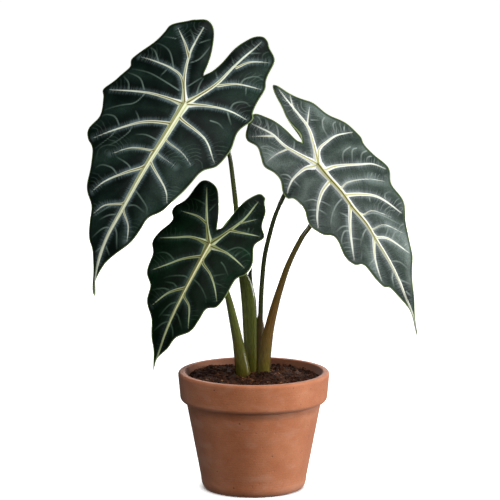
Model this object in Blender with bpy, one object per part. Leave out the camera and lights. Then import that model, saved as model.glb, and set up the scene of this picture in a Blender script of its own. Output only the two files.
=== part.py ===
"""Potted alocasia: a clay pot of soil, a corm, three grown leaves on their stalks and a rolled young leaf.

Frame: the origin is the centre of the pot's underside and +Z is up. +X and -Y are the plant's right and
front, so all three grown blades show their upper face towards -Y. The lists below are in millimetres.
"""

import math

import bmesh
import bpy
import numpy as np
from mathutils import Vector

MM = 0.001
GAP = 0.3  # clearance between touching pieces

# Pot, thrown in one piece: a tapered body under a taller, wider collar.
POT_HEIGHT = 117.0
RIM_RADIUS = 75.0
COLLAR_HEIGHT = 29.5
COLLAR_FOOT_RADIUS = 73.0
BODY_TOP_RADIUS = 67.0
BODY_FOOT_RADIUS = 50.3
FOOT_ROUNDING = (5.5, 11.0)  # how far the foot's rounding reaches in and up
COLLAR_ROUNDING = 5.0
RIM_ROUNDING = 2.5
WALL = 7.0
FLOOR = 8.0
INNER_CORNER = 4.0  # bevel between the inside wall and the floor
DRAIN_RADIUS = 10.0
POT_SIDES = 48

# Soil, level under the rim and heaped a little round the stalks and at the back left.
SOIL_LEVEL = 110.0
SOIL_HEAPS = [(4, 6, 30, 3.0), (-42, 36, 26, 2.6), (30, 50, 24, 1.6), (46, -22, 24, -2.0)]
SOIL_RINGS = 6

# Corm: the swollen stem in the soil that every stalk grows from.
CORM_CENTRE = (0.0, 6.0)
CORM_TOP = 100.5
CORM_PROFILE = [(0, 66), (12, 70), (18, 82), (19.5, 92), (17, CORM_TOP), (0, CORM_TOP)]

# Stalks: centre line with its half width (X) and half depth (Y) at each point.
STALK_SIDES = 12
STALKS = {
    "stalk_left_leaf": [
        (-2.4, 12, 101, 3.6, 3.8), (-2.4, 12, 106, 4.3, 4.8), (-2.8, 12, 125, 5.5, 5.0),
        (-3.9, 12, 148, 6.5, 5.2), (-4.7, 12, 178, 7.3, 5.0), (-6.7, 12, 196, 6.8, 4.2),
        (-9.4, 12, 207, 5.4, 3.2), (-12.4, 12, 216, 3.2, 2.8), (-15.0, 11.5, 228, 2.6, 2.6),
        (-16.2, 10, 252, 2.6, 2.6), (-17.5, 8, 278, 2.5, 2.5), (-20.4, 6, 306, 2.3, 2.3),
        (-24.3, 3, 334, 2.1, 2.1), (-31, 2, 354, 2.0, 2.0), (-41.8, 1, 369, 2.0, 2.0),
        (-53.5, -2, 379, 2.1, 2.1), (-63, -8.5, 382.5, 2.2, 2.2), (-66.8, -15.8, 384.2, 2.4, 2.4),
    ],
    "stalk_small_leaf": [
        (-9.4, -3.5, 101, 4.6, 4.6), (-9.4, -3.5, 105, 7.0, 6.4), (-10.8, -4, 116, 7.4, 6.2),
        (-14.3, -5, 138, 5.9, 5.2), (-16.4, -7, 151, 5.1, 4.7), (-22.8, -13, 183, 3.7, 3.5),
        (-26.2, -17, 197.5, 3.0, 2.9), (-32.1, -22, 219, 2.4, 2.4), (-38.2, -25.5, 236, 2.1, 2.1),
        (-41.6, -28, 244, 2.1, 2.1), (-43.0, -32.0, 248.4, 2.2, 2.2),
    ],
    "stalk_right_leaf": [
        (9.7, 0, 101, 4.6, 4.6), (9.7, 0, 106, 6.0, 5.6), (10.2, 0, 124, 6.1, 5.6),
        (12.6, 0, 147, 5.8, 5.4), (15.6, 0, 162, 4.8, 4.8), (20.0, 0, 180, 4.1, 4.1),
        (25.3, 1, 198, 3.4, 3.4), (34.3, 3, 224, 2.8, 2.8), (47.0, 5, 249.5, 2.5, 2.5),
        (56.0, 8, 262, 2.4, 2.4), (62.8, 12, 279, 2.3, 2.3), (66.2, 14.5, 297, 2.2, 2.2),
        (65.0, 12.5, 313, 2.2, 2.2), (63.2, 8, 320.4, 2.2, 2.2), (63.0, 4.2, 322.0, 2.3, 2.3),
    ],
    "stalk_young_leaf": [
        (5.2, 18.5, 101, 2.0, 2.0), (5.2, 18.5, 108, 2.5, 2.5), (6.0, 18.5, 132, 2.5, 2.5),
        (6.5, 18.5, 152, 2.4, 2.4), (6.9, 18.5, 180, 2.4, 2.4), (8.2, 19, 204, 2.3, 2.3),
        (10.8, 20.5, 229, 2.3, 2.3), (16.4, 23, 253, 2.3, 2.3), (22.0, 25, 271, 2.2, 2.2),
        (30.6, 28, 290, 2.1, 2.1), (38.2, 29.8, 305, 2.0, 2.0),
    ],
}
ROLLED_LEAF = [
    (38.8, 29.9, 305.7, 1.6, 1.6), (41.0, 30.5, 310.5, 2.2, 2.2), (46.5, 31.8, 323, 3.2, 3.0),
    (52.0, 33.2, 335, 3.3, 3.0), (56.5, 34.6, 346, 2.4, 2.2), (59.8, 35.8, 355, 0.8, 0.8),
]
# Scale leaf: a short papery sleeve, open at the back, round the foot of the young stalk.
SCALE_SLEEVE = [
    (5.3, 18.5, 106, 3.9), (6.0, 18.5, 130, 3.9), (6.5, 18.5, 152, 3.8), (6.8, 18.5, 176, 3.5),
]
SCALE_WALL = 0.8
SCALE_ARC = math.radians(250)

# Blades. Each is set out on its own axes: u runs from the junction with the stalk towards the tip, v to
# the right as the upper face is seen, both in mm, and the face bows outwards along u and falls away to
# both sides. The margins run from the notch between the back lobes, round a lobe and down to the tip.
BLADE_THICKNESS = 1.2
BLADES = {
    "blade_left_leaf": {
        "junction": (-67.3, -18, 384.9), "tip": (-153.4, -70, 203.9), "facing": (-0.22, -0.93, 0.25),
        "bow": 16, "fall": 10, "half_width": 70, "rib_lead": 42,
        "midrib": [(0, 0), (39, -2), (74, -5), (119, -8), (151, -11), (181, -9), (207, 0)],
        "right": [(-35, 3), (-45, 10), (-69, 17), (-88, 27), (-94, 37), (-92, 44), (-87, 48), (-77, 58),
                  (-57, 59), (-46, 62), (-22, 62), (-13, 65), (5, 59), (26, 61), (43, 57), (54, 47),
                  (71, 42), (102, 31), (117, 20), (131, 17), (150, 11), (169, -1), (179, -4), (197, -5),
                  (207, 0)],
        "left": [(-35, 3), (-38, 2), (-46, 1), (-64, -2), (-82, -10), (-88, -19), (-85, -30),
                 (-82, -37), (-71, -52), (-61, -56), (-43, -63), (-25, -74), (-15, -71), (-1, -77),
                 (15, -85), (24, -80), (43, -74), (59, -78), (68, -74), (79, -62), (113, -51),
                 (130, -38), (156, -29), (170, -18), (201, -5), (207, 0)],
    },
    "blade_small_leaf": {
        "junction": (-43.3, -34, 249.4), "tip": (-97.4, -68, 130.2), "facing": (-0.15, -0.9, 0.3),
        "bow": 10, "fall": 6, "half_width": 50, "rib_lead": 28,
        "midrib": [(0, 0), (53, -2), (84, -3), (117, -2), (135, 0)],
        "right": [(-17, 0), (-23, 5), (-45, 9), (-65, 21), (-65, 29), (-60, 31), (-52, 36), (-38, 38),
                  (-28, 45), (-16, 40), (1, 46), (13, 45), (22, 38), (41, 37), (54, 33), (60, 25),
                  (73, 23), (86, 19), (97, 9), (109, 5), (122, -1), (135, 0)],
        "left": [(-17, 0), (-38, -8), (-54, -17), (-59, -27), (-57, -35), (-48, -39), (-33, -43),
                 (-24, -49), (-17, -50), (-9, -46), (7, -52), (19, -54), (30, -48), (49, -45),
                 (60, -36), (76, -32), (90, -21), (106, -14), (118, -7), (135, 0)],
    },
    "blade_right_leaf": {
        "junction": (63.3, 2, 322.9), "tip": (159.2, -46, 161.6), "facing": (0.22, -0.93, 0.25),
        "bow": 16, "fall": 9, "half_width": 60, "rib_lead": 40,
        "midrib": [(0, 0), (14, 1), (35, 4), (55, 5), (75, 8), (94, 8), (121, 9), (146, 8), (175, 5),
                   (194, 0)],
        "right": [(-28, -1), (-37, 2), (-55, 0), (-69, 1), (-91, 4), (-92, 8), (-80, 15), (-67, 25),
                  (-58, 32), (-40, 40), (-23, 51), (-7, 55), (5, 53), (29, 60), (39, 60), (52, 54),
                  (75, 54), (96, 43), (121, 35), (136, 26), (155, 17), (175, 8), (194, 0)],
        "left": [(-28, -1), (-33, -4), (-47, -7), (-67, -16), (-77, -27), (-66, -41), (-57, -45),
                 (-46, -41), (-35, -43), (-25, -45), (-14, -41), (-4, -40), (7, -44), (15, -44),
                 (19, -39), (32, -36), (45, -40), (53, -40), (64, -34), (72, -26), (92, -27),
                 (105, -23), (111, -15), (136, -9), (142, -3), (160, 3), (174, 4), (194, 0)],
    },
}
LOBE_ROWS = 18  # rows of facets that fan round each back lobe
RIB_ROWS = 18  # rows from there to the tip
ACROSS = 4  # facets from the midrib to the margin


def material(name, colour, roughness):
    """A Principled material, colour given as 0..1 linear red, green and blue."""
    finish = bpy.data.materials.new(name)
    finish.use_nodes = True
    shader = finish.node_tree.nodes["Principled BSDF"]
    shader.inputs["Base Color"].default_value = (*colour, 1.0)
    shader.inputs["Roughness"].default_value = roughness
    return finish


def make_object(name, mesh_builder, finish):
    """An object whose mesh is the given bmesh, shaded smooth where it is round."""
    mesh = bpy.data.meshes.new(name)
    bmesh.ops.recalc_face_normals(mesh_builder, faces=mesh_builder.faces)
    mesh_builder.to_mesh(mesh)
    mesh_builder.free()
    made = bpy.data.objects.new(name, mesh)
    bpy.context.scene.collection.objects.link(made)
    mesh.materials.append(finish)
    mesh.shade_smooth()
    mesh.set_sharp_from_angle(angle=math.radians(40))
    return made


def smooth_curve(points, per_span):
    """A Catmull-Rom curve through points of any width, per_span samples for each span."""
    rows = np.array(points, float)
    rows = np.vstack([2 * rows[0] - rows[1], rows, 2 * rows[-1] - rows[-2]])
    t = np.linspace(0, 1, per_span, endpoint=False)[:, None]
    spans = [
        0.5 * (2 * b + (c - a) * t + (2 * a - 5 * b + 4 * c - d) * t**2 + (3 * b - a - 3 * c + d) * t**3)
        for a, b, c, d in zip(rows, rows[1:], rows[2:], rows[3:])
    ]
    return np.vstack([*spans, rows[-2:-1]])


def along(curve):
    """Distance along a curve at each of its points."""
    return np.concatenate([[0], np.cumsum(np.linalg.norm(np.diff(curve, axis=0), axis=1))])


def turned(name, profile, finish, sides=POT_SIDES, centre=(0.0, 0.0)):
    """A closed profile of (radius, height) points in mm, spun round a vertical axis."""
    builder = bmesh.new()
    rings = []
    for radius, height in profile:
        if radius == 0:
            rings.append([builder.verts.new((centre[0] * MM, centre[1] * MM, height * MM))])
            continue
        turns = [2 * math.pi * k / sides for k in range(sides)]
        rings.append([
            builder.verts.new((
                (centre[0] + radius * math.cos(a)) * MM, (centre[1] + radius * math.sin(a)) * MM, height * MM))
            for a in turns
        ])
    pairs = list(zip(rings, rings[1:]))
    if profile[0][0] and profile[-1][0]:
        pairs.append((rings[-1], rings[0]))
    for low, high in pairs:
        for k in range(sides):
            corners = [low[k % len(low)], low[(k + 1) % len(low)], high[(k + 1) % len(high)], high[k % len(high)]]
            builder.faces.new(list(dict.fromkeys(corners)))
    return make_object(name, builder, finish)


def rounding(corner, reach, first, last, steps):
    """A rounded outer corner of a turned profile. The corner is where its two sides would meet, the reach
    is how far in and up (or down, if negative) the rounding goes, and the angles are from straight out."""
    angles = np.radians(np.linspace(first, last, steps + 1))
    centre = (corner[0] - reach[0], corner[1] + reach[1])
    return [(centre[0] + reach[0] * math.cos(a), centre[1] + abs(reach[1]) * math.sin(a)) for a in angles]


def inner_radius(height):
    """Radius of the pot's inside at a height above its foot."""
    share = (height - FLOOR) / (POT_HEIGHT - FLOOR)
    foot = BODY_FOOT_RADIUS - WALL + 1.0
    return foot + share * (RIM_RADIUS - WALL - foot)


def make_pot(finish):
    collar_foot = POT_HEIGHT - COLLAR_HEIGHT
    slope = (BODY_TOP_RADIUS - BODY_FOOT_RADIUS) / collar_foot
    foot_side = BODY_FOOT_RADIUS + slope * FOOT_ROUNDING[1]
    profile = [
        (DRAIN_RADIUS, 0.0),
        *rounding((foot_side, 0.0), FOOT_ROUNDING, -90, -8, 5),
        (BODY_TOP_RADIUS - 0.4, collar_foot - 1.0),
        (BODY_TOP_RADIUS + 1.0, collar_foot),
        *rounding((COLLAR_FOOT_RADIUS, collar_foot), (COLLAR_ROUNDING, COLLAR_ROUNDING), -70, 0, 3),
        *rounding((RIM_RADIUS, POT_HEIGHT), (RIM_ROUNDING, -RIM_ROUNDING), 0, 90, 3),
        (RIM_RADIUS - WALL + 1.2, POT_HEIGHT),
        (RIM_RADIUS - WALL, POT_HEIGHT - 1.2),
        (inner_radius(FLOOR + INNER_CORNER), FLOOR + INNER_CORNER),
        (inner_radius(FLOOR) - INNER_CORNER, FLOOR),
        (DRAIN_RADIUS, FLOOR),
    ]
    return turned("pot", profile, finish)


def soil_height(x, y):
    heaps = sum(lift * math.exp(-((x - hx) ** 2 + (y - hy) ** 2) / (2 * (reach / 1.6) ** 2))
                for hx, hy, reach, lift in SOIL_HEAPS)
    return SOIL_LEVEL + heaps


def make_soil(finish, cutters):
    """A plug that fills the pot, with a heaped top, hollowed where the corm and the stalks stand in it."""
    builder = bmesh.new()
    turns = [2 * math.pi * k / POT_SIDES for k in range(POT_SIDES)]
    edge = (inner_radius(SOIL_LEVEL) - GAP) * math.cos(math.pi / POT_SIDES)
    wall = [(inner_radius(h) - GAP, h) for h in (FLOOR + INNER_CORNER + GAP, 60.0)]
    rings = [[builder.verts.new((0, 0, (FLOOR + GAP) * MM))]]
    for radius, height in [(inner_radius(FLOOR) - INNER_CORNER - GAP, FLOOR + GAP), *wall]:
        rings.append([builder.verts.new((radius * math.cos(a) * MM, radius * math.sin(a) * MM, height * MM))
                      for a in turns])
    for step in range(SOIL_RINGS, 0, -1):
        radius = edge * step / SOIL_RINGS
        rings.append([])
        for a in turns:
            x, y = radius * math.cos(a), radius * math.sin(a)
            rings[-1].append(builder.verts.new((x * MM, y * MM, soil_height(x, y) * MM)))
    rings.append([builder.verts.new((0, 0, soil_height(0, 0) * MM))])
    for low, high in zip(rings, rings[1:]):
        for k in range(POT_SIDES):
            corners = [low[k % len(low)], low[(k + 1) % len(low)], high[(k + 1) % len(high)], high[k % len(high)]]
            builder.faces.new(list(dict.fromkeys(corners)))
    soil = make_object("soil", builder, finish)
    for cutter in cutters:
        cut = soil.modifiers.new(cutter.name, "BOOLEAN")
        cut.operation = "DIFFERENCE"
        cut.solver = "EXACT"
        cut.object = cutter
    return soil


def section_axes(curve, index):
    """The two directions of a stalk's cross-section: nearest +X, and across it."""
    before, after = curve[max(index - 1, 0)], curve[min(index + 1, len(curve) - 1)]
    run = Vector(after[:3] - before[:3]).normalized()
    side = (Vector((1, 0, 0)) - run * run.x).normalized()
    return side, run.cross(side)


def make_stalk(name, path, finish, grow=0.0, steps=2):
    """A tapering stalk along a smooth path, made of elliptical rings and closed at both ends."""
    curve = smooth_curve(path, steps)
    builder = bmesh.new()
    rings = []
    for index, (x, y, z, half_width, half_depth) in enumerate(curve):
        side, depth = section_axes(curve, index)
        ring = []
        for k in range(STALK_SIDES):
            a = 2 * math.pi * k / STALK_SIDES
            out = side * (half_width + grow) * math.cos(a) + depth * (half_depth + grow) * math.sin(a)
            ring.append(builder.verts.new((Vector((x, y, z)) + out) * MM))
        rings.append(ring)
    for low, high in zip(rings, rings[1:]):
        for k in range(STALK_SIDES):
            nxt = (k + 1) % STALK_SIDES
            builder.faces.new([low[k], low[nxt], high[nxt], high[k]])
    builder.faces.new(rings[0][::-1])
    builder.faces.new(rings[-1])
    return make_object(name, builder, finish)


def make_scale_leaf(finish):
    """The sleeve: a C-shaped section, open towards the back, swept up the foot of the young stalk."""
    builder = bmesh.new()
    rings = []
    steps = 12
    turns = [-math.pi / 2 - SCALE_ARC / 2 + SCALE_ARC * k / steps for k in range(steps + 1)]
    for x, y, z, radius in smooth_curve(SCALE_SLEEVE, 2):
        outer = [(x + radius * math.cos(a), y + radius * math.sin(a)) for a in turns]
        inner = [(x + (radius - SCALE_WALL) * math.cos(a), y + (radius - SCALE_WALL) * math.sin(a)) for a in turns]
        rings.append([builder.verts.new((px * MM, py * MM, z * MM)) for px, py in outer + inner[::-1]])
    count = len(rings[0])
    for low, high in zip(rings, rings[1:]):
        for k in range(count):
            nxt = (k + 1) % count
            builder.faces.new([low[k], low[nxt], high[nxt], high[k]])
    for ring in (rings[0], rings[-1]):
        for k in range(steps):
            builder.faces.new([ring[k], ring[k + 1], ring[count - 2 - k], ring[count - 1 - k]])
    return make_object("scale_leaf", builder, finish)


def blade_axes(blade):
    """The blade's origin, its length, and its u, v and outward directions."""
    start, tip = Vector(blade["junction"]), Vector(blade["tip"])
    length = (tip - start).length
    u = (tip - start) / length
    outward = Vector(blade["facing"])
    outward = (outward - u * outward.dot(u)).normalized()
    return start, length, u, outward.cross(u), outward


def blade_rows(blade, length, side):
    """Rows of (u, v) points from the midrib out to one margin, following the way the side ribs run."""
    margin = smooth_curve(blade[side], 12)
    midrib = smooth_curve(blade["midrib"], 12)
    lead = blade["rib_lead"]
    forward = int(np.argmax((margin[:, 0] > lead) & (np.arange(len(margin)) > len(margin) // 3)))
    lobe, rest = margin[: forward + 1], margin[forward:]
    run = along(lobe)
    marks = np.linspace(0, run[-1], LOBE_ROWS + 1)[:-1]
    ends = [(np.zeros(2), np.array([np.interp(m, run, lobe[:, 0]), np.interp(m, run, lobe[:, 1])])) for m in marks]
    for u in np.linspace(lead, length, RIB_ROWS + 1):
        root = u - lead * (1 - (u / length) ** 4) / (1 - (lead / length) ** 4)
        foot = np.array([root, np.interp(root, midrib[:, 0], midrib[:, 1])])
        ends.append((foot, np.array([u, np.interp(u, rest[:, 0], rest[:, 1])])))
    return [[foot + (tip - foot) * k / ACROSS for k in range(ACROSS + 1)] for foot, tip in ends]


def make_blade(name, finish):
    """A blade: rows of facets on the bowed face, given its thickness towards the back."""
    blade = BLADES[name]
    start, length, u_axis, v_axis, outward = blade_axes(blade)
    builder = bmesh.new()
    for side in ("right", "left"):
        rows = []
        for row in blade_rows(blade, length, side):
            rows.append([])
            for u, v in row:
                rise = blade["bow"] * math.sin(math.pi * u / length)
                rise -= blade["fall"] * (v / blade["half_width"]) ** 2
                rows[-1].append(builder.verts.new((start + u_axis * u + v_axis * v + outward * rise) * MM))
        for one, two in zip(rows, rows[1:]):
            for k in range(ACROSS):
                builder.faces.new([one[k], one[k + 1], two[k + 1], two[k]])
    bmesh.ops.remove_doubles(builder, verts=builder.verts, dist=0.00001)
    made = make_object(name, builder, finish)
    if made.data.polygons[0].normal.dot(outward) < 0:
        made.data.flip_normals()
    thick = made.modifiers.new("thickness", "SOLIDIFY")
    thick.thickness = BLADE_THICKNESS * MM
    thick.offset = -1.0
    return made


def make_corm(name, finish, grow=0.0):
    profile = [(radius + (grow if radius else 0), height + (grow if height == CORM_TOP else -grow))
               for radius, height in CORM_PROFILE]
    return turned(name, profile, finish, sides=20, centre=CORM_CENTRE)


def as_cutter(made):
    made.hide_render = True
    made.display_type = "WIRE"
    return made


def main():
    for old in list(bpy.data.objects):
        bpy.data.objects.remove(old)

    clay = material("fired_clay", (0.42, 0.17, 0.09), 0.9)
    potting_mix = material("potting_mix", (0.035, 0.018, 0.010), 1.0)
    corm_skin = material("corm_skin", (0.09, 0.045, 0.02), 0.8)
    green_stalk = material("green_stalk", (0.05, 0.06, 0.012), 0.35)
    papery_scale = material("papery_scale", (0.10, 0.05, 0.016), 0.6)
    dark_blade = material("dark_blade", (0.010, 0.022, 0.014), 0.4)
    silver_blade = material("silver_blade", (0.10, 0.13, 0.13), 0.45)

    make_pot(clay)
    make_corm("corm", corm_skin)
    cutters = [as_cutter(make_corm("room_for_corm", corm_skin, grow=GAP))]
    for name, path in STALKS.items():
        x, y, z, *size = path[0]
        into_corm = [(x, y, z - 2 * GAP, *size), *path[1:]]
        cutters.append(as_cutter(make_stalk(f"room_for_{name}", into_corm, corm_skin, grow=GAP)))
    sleeve = [(x, y, z - GAP, radius, radius) for x, y, z, radius in SCALE_SLEEVE]
    cutters.append(as_cutter(make_stalk("room_for_scale_leaf", sleeve, corm_skin, grow=GAP)))
    make_soil(potting_mix, cutters)
    for name, path in STALKS.items():
        make_stalk(name, path, green_stalk)
    make_stalk("rolled_leaf", ROLLED_LEAF, dark_blade)
    make_scale_leaf(papery_scale)
    make_blade("blade_left_leaf", dark_blade)
    make_blade("blade_small_leaf", dark_blade)
    make_blade("blade_right_leaf", silver_blade)


main()
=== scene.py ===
"""Looks of the potted alocasia: a thrown clay pot of potting mix, three grown leaves and a rolled young one.

The lists are in millimetres, in the plant's own frame: the origin is the centre of the pot's underside, +Z
is up, and the three grown blades show their upper face towards -Y. The scene itself is in metres.
"""

import math

import bpy
import numpy as np
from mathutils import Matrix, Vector


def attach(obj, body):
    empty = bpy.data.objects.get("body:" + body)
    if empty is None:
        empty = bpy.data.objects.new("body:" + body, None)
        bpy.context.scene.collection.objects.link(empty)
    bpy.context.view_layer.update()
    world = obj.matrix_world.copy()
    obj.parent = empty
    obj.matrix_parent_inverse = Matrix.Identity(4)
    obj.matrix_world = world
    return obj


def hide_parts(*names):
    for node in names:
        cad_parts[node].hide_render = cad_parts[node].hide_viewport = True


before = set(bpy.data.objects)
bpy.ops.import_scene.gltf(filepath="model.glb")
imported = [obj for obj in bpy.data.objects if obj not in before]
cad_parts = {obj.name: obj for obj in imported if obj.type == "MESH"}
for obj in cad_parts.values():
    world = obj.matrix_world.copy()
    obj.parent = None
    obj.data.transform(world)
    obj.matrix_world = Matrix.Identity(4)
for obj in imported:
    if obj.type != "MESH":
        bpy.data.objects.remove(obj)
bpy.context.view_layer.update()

MM = 0.001
bpy.ops.object.select_all(action="DESELECT")

# ---------------------------------------------------------------- sizes

# Pot, thrown in one piece: a tapered body under a taller, wider collar.
POT_HEIGHT = 117.0
RIM_RADIUS = 75.0
COLLAR_HEIGHT = 29.5
COLLAR_FOOT_RADIUS = 73.0
BODY_TOP_RADIUS = 67.0
BODY_FOOT_RADIUS = 50.3
FOOT_ROUNDING = (5.5, 11.0)  # how far the foot's rounding reaches in and up
COLLAR_ROUNDING = 5.0
RIM_ROUNDING = 2.5
WALL = 7.0
FLOOR = 8.0
DRAIN_RADIUS = 10.0
POT_SIDES = 180
COLLAR_FILLET = 2.6  # the hollow round under the collar
INNER_RIM_ROUNDING = 1.5
TURNING_LINES = 2.5  # from one to the next, up the wall
INSIDE_SHADE_FADE = 1.5  # over which the painted shade inside ends
INSIDE_SHADE_DEPTH = 10.0  # how far under the soil's level the painted shade inside is drawn

# Soil, level under the rim and heaped a little round the stalks and at the back left.
SOIL_LEVEL = 110.0
SOIL_HEAPS = [(4, 6, 30, 3.0), (-42, 36, 26, 2.6), (30, 50, 24, 1.6), (46, -22, 24, -2.0)]
# Banks of soil against the stalks' feet.
SOIL_BANKS = [(11, -9, 9, 4.2), (20, -4, 10, 2.4), (-19, -8, 8, 2.2), (-1, -6, 6, 1.8)]
SOIL_GAP = 0.3  # between the soil and the clay
SOIL_FOOT = 20.0  # height of the soil's flat underside
SOIL_SCATTER = ((9.0, 0.9, 160), (3.2, 1.0, 1500), (1.5, 0.6, 3600))  # reach, height and count of its bumps
SOIL_ROUGHNESS = (-2.2, 2.4)  # most that the bumps add to the plain surface
CRUMB_COUNT = 1500
CRUMB_SIZES, CRUMB_ODDS = [0.7, 1.1, 1.8, 2.6], [0.42, 0.34, 0.19, 0.05]

# Stalks: centre line with its half width (X) and half depth (Y) at each point.
STALKS = {
    "stalk_left_leaf": [
        (-2.4, 12, 101, 3.6, 3.8), (-2.4, 12, 106, 4.3, 4.8), (-2.8, 12, 125, 5.5, 5.0),
        (-3.9, 12, 148, 6.5, 5.2), (-4.7, 12, 178, 7.3, 5.0), (-6.7, 12, 196, 6.8, 4.2),
        (-9.4, 12, 207, 5.4, 3.2), (-12.4, 12, 216, 3.2, 2.8), (-15.0, 11.5, 228, 2.6, 2.6),
        (-16.2, 10, 252, 2.6, 2.6), (-17.5, 8, 278, 2.5, 2.5), (-20.4, 6, 306, 2.3, 2.3),
        (-24.3, 3, 334, 2.1, 2.1), (-31, 2, 354, 2.0, 2.0), (-41.8, 1, 369, 2.0, 2.0),
        (-53.5, -2, 379, 2.1, 2.1), (-63, -8.5, 382.5, 2.2, 2.2), (-66.8, -15.8, 384.2, 2.4, 2.4),
    ],
    "stalk_small_leaf": [
        (-9.4, -3.5, 101, 4.6, 4.6), (-9.4, -3.5, 105, 7.0, 6.4), (-10.8, -4, 116, 7.4, 6.2),
        (-14.3, -5, 138, 5.9, 5.2), (-16.4, -7, 151, 5.1, 4.7), (-22.8, -13, 183, 3.7, 3.5),
        (-26.2, -17, 197.5, 3.0, 2.9), (-32.1, -22, 219, 2.4, 2.4), (-38.2, -25.5, 236, 2.1, 2.1),
        (-41.6, -28, 244, 2.1, 2.1), (-43.0, -32.0, 248.4, 2.2, 2.2),
    ],
    "stalk_right_leaf": [
        (9.7, 0, 101, 4.6, 4.6), (9.7, 0, 106, 6.0, 5.6), (10.2, 0, 124, 6.1, 5.6),
        (12.6, 0, 147, 5.8, 5.4), (15.6, 0, 162, 4.8, 4.8), (20.0, 0, 180, 4.1, 4.1),
        (25.3, 1, 198, 3.4, 3.4), (34.3, 3, 224, 2.8, 2.8), (47.0, 5, 249.5, 2.5, 2.5),
        (56.0, 8, 262, 2.4, 2.4), (62.8, 12, 279, 2.3, 2.3), (66.2, 14.5, 297, 2.2, 2.2),
        (65.0, 12.5, 313, 2.2, 2.2), (63.2, 8, 320.4, 2.2, 2.2), (63.0, 4.2, 322.0, 2.3, 2.3),
    ],
    "stalk_young_leaf": [
        (5.2, 18.5, 101, 2.0, 2.0), (5.2, 18.5, 108, 2.5, 2.5), (6.0, 18.5, 132, 2.5, 2.5),
        (6.5, 18.5, 152, 2.4, 2.4), (6.9, 18.5, 180, 2.4, 2.4), (8.2, 19, 204, 2.3, 2.3),
        (10.8, 20.5, 229, 2.3, 2.3), (16.4, 23, 253, 2.3, 2.3), (22.0, 25, 271, 2.2, 2.2),
        (30.6, 28, 290, 2.1, 2.1), (38.2, 29.8, 305, 2.0, 2.0),
    ],
}
# The free pointed end of the left leaf stalk's sheath.
SHEATH_TIP = [
    (-2.6, 12, 184, 1.4, 1.2), (-2.9, 12, 198, 2.4, 1.0), (-4.0, 12, 207, 2.6, 0.8),
    (-3.6, 12, 212.5, 1.9, 0.6), (-2.4, 12, 216.5, 0.8, 0.4), (-1.8, 12, 218.8, 0.2, 0.2),
]
ROLLED_LEAF = [
    (38.8, 29.9, 305.7, 1.6, 1.6), (41.0, 30.5, 310.5, 2.2, 2.2), (46.5, 31.8, 323, 3.2, 3.0),
    (52.0, 33.2, 335, 3.3, 3.0), (56.5, 34.6, 346, 2.4, 2.2), (59.8, 35.8, 355, 0.8, 0.8),
]
SCALE_ARC = math.radians(250)
SCALE_THICKNESS, SCALE_TUCK, SCALE_LOOSE = 0.35, 0.15, 0.5  # wall, how close it fits, how far its top opens
FIBRE_RUN = 0.02  # how far the fibre pattern of a stalk runs on for each millimetre up it
SCALE_SLEEVE = [(5.3, 18.5, 106, 3.9), (6.0, 18.5, 130, 3.9), (6.5, 18.5, 152, 3.8), (6.8, 18.5, 176, 3.5)]

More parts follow.
